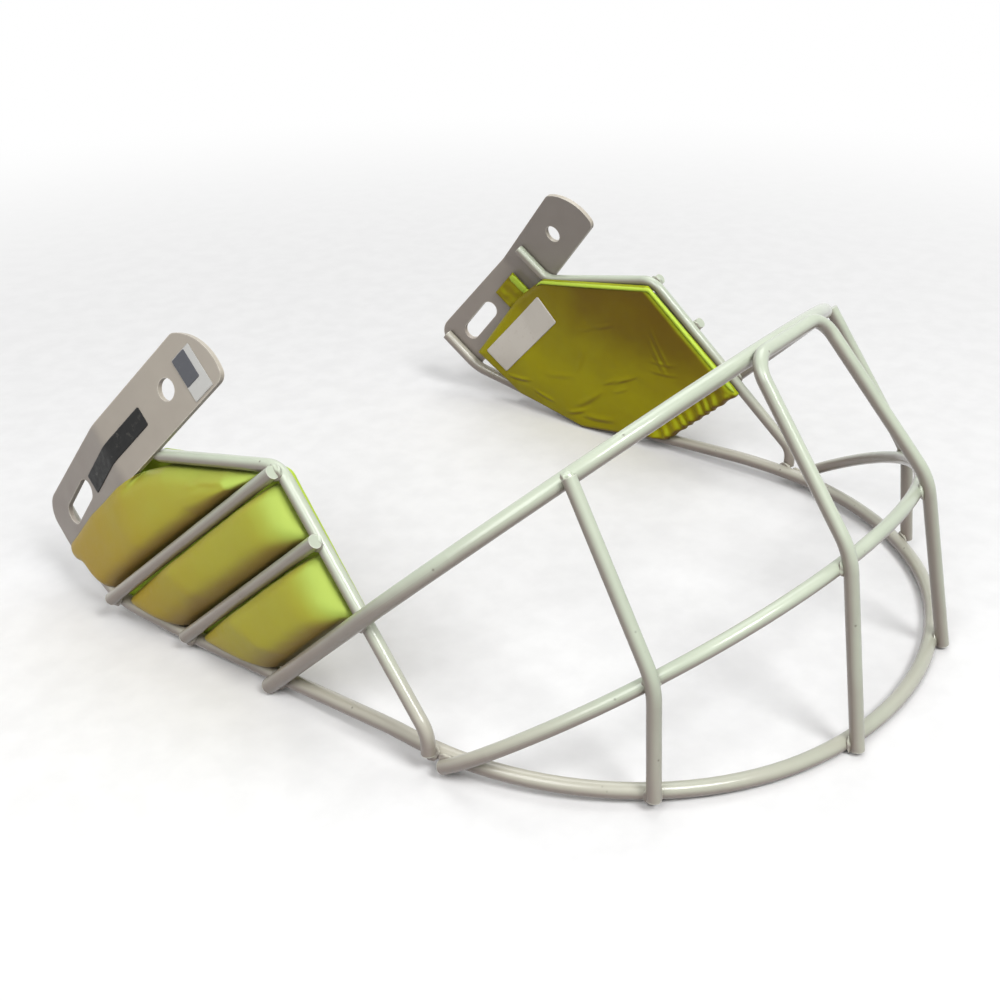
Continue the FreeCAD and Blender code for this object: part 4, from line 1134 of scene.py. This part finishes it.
lightSettings = {
    "key": {"place": (0.25, 0.8, 1.00), "aim": (0, 0, 0.04), "size": 0.5, "power": 8.6},
    "top": {"place": (-0.45, -0.2, 1.25), "aim": (0, 0, 0.04), "size": 0.9, "power": 5.0},
    "fill": {"place": (0.85, 0.12, 0.95), "aim": (0, 0, 0.04), "size": 0.8, "power": 6.8},
    "sky": 0.22,
}


def makeLamp(name, settings):
    data = bpy.data.lights.new(name, "AREA")
    data.shape = "DISK"
    data.size = settings["size"]
    data.energy = settings["power"]
    lamp = linked(name, data)
    lamp.location = settings["place"]
    aim = Vector(settings["aim"]) - lamp.location
    lamp.rotation_mode = "QUATERNION"
    lamp.rotation_quaternion = aim.to_track_quat("-Z", "Y")


def seenRays(tree):
    # camera, mirror and glass rays see the white surroundings
    path = tree.nodes.new("ShaderNodeLightPath")
    seen = mathNode(tree, "ADD", path.outputs["Is Camera Ray"], path.outputs["Is Glossy Ray"], clamp=True)
    return mathNode(tree, "ADD", seen, path.outputs["Is Transmission Ray"], clamp=True)


def makeWorld():
    world = bpy.data.worlds.new("studio")
    world.use_nodes = True
    bpy.context.scene.world = world
    tree = world.node_tree
    background = tree.nodes["Background"]
    background.inputs["Color"].default_value = (1, 1, 1, 1)
    strength = rangeNode(tree, seenRays(tree), 0, 1, lightSettings["sky"], 1.0, "LINEAR")
    tree.links.new(strength, background.inputs["Strength"])


def makeFloor():
    floor = meshPiece("floor", [(-3, -3, 0), (3, -3, 0), (3, 3, 0), (-3, 3, 0)], [(0, 1, 2, 3)], [])
    material, tree, shader = startMaterial("floorPaper")
    place = objectPlace(tree)
    grain = rangeNode(tree, noiseNode(tree, place, 90.0, 5.0), 0.3, 0.7, 0.0, 1.0)
    seen = seenRays(tree)
    shown = mixNode(tree, grain, (0.86, 0.86, 0.86), (0.9, 0.9, 0.9))
    tree.links.new(mixNode(tree, seen, (0.38, 0.36, 0.34), shown), shader.inputs["Base Color"])
    shader.inputs["Roughness"].default_value = 0.9
    shader.inputs["Specular IOR Level"].default_value = 0.1
    far = nodeIn(tree, "ShaderNodeVectorMath", {"operation": "LENGTH"})
    tree.links.new(place, far.inputs[0])
    distance = rangeNode(tree, far.outputs["Value"], 0.12, 0.75)
    glow = nodeIn(tree, "ShaderNodeEmission", Strength=1.0)
    blend = tree.nodes.new("ShaderNodeMixShader")
    tree.links.new(mathNode(tree, "MULTIPLY", seen, distance), blend.inputs[0])
    tree.links.new(shader.outputs[0], blend.inputs[1])
    tree.links.new(glow.outputs[0], blend.inputs[2])
    tree.links.new(blend.outputs[0], tree.nodes["Material Output"].inputs["Surface"])
    floor.data.materials.append(material)


makeCamera(cameraSettings)
for name in ("key", "top", "fill"):
    makeLamp(name, lightSettings[name])
makeWorld()
makeFloor()
bpy.context.scene.view_settings.view_transform = "Standard"
print("camera, light and floor set")
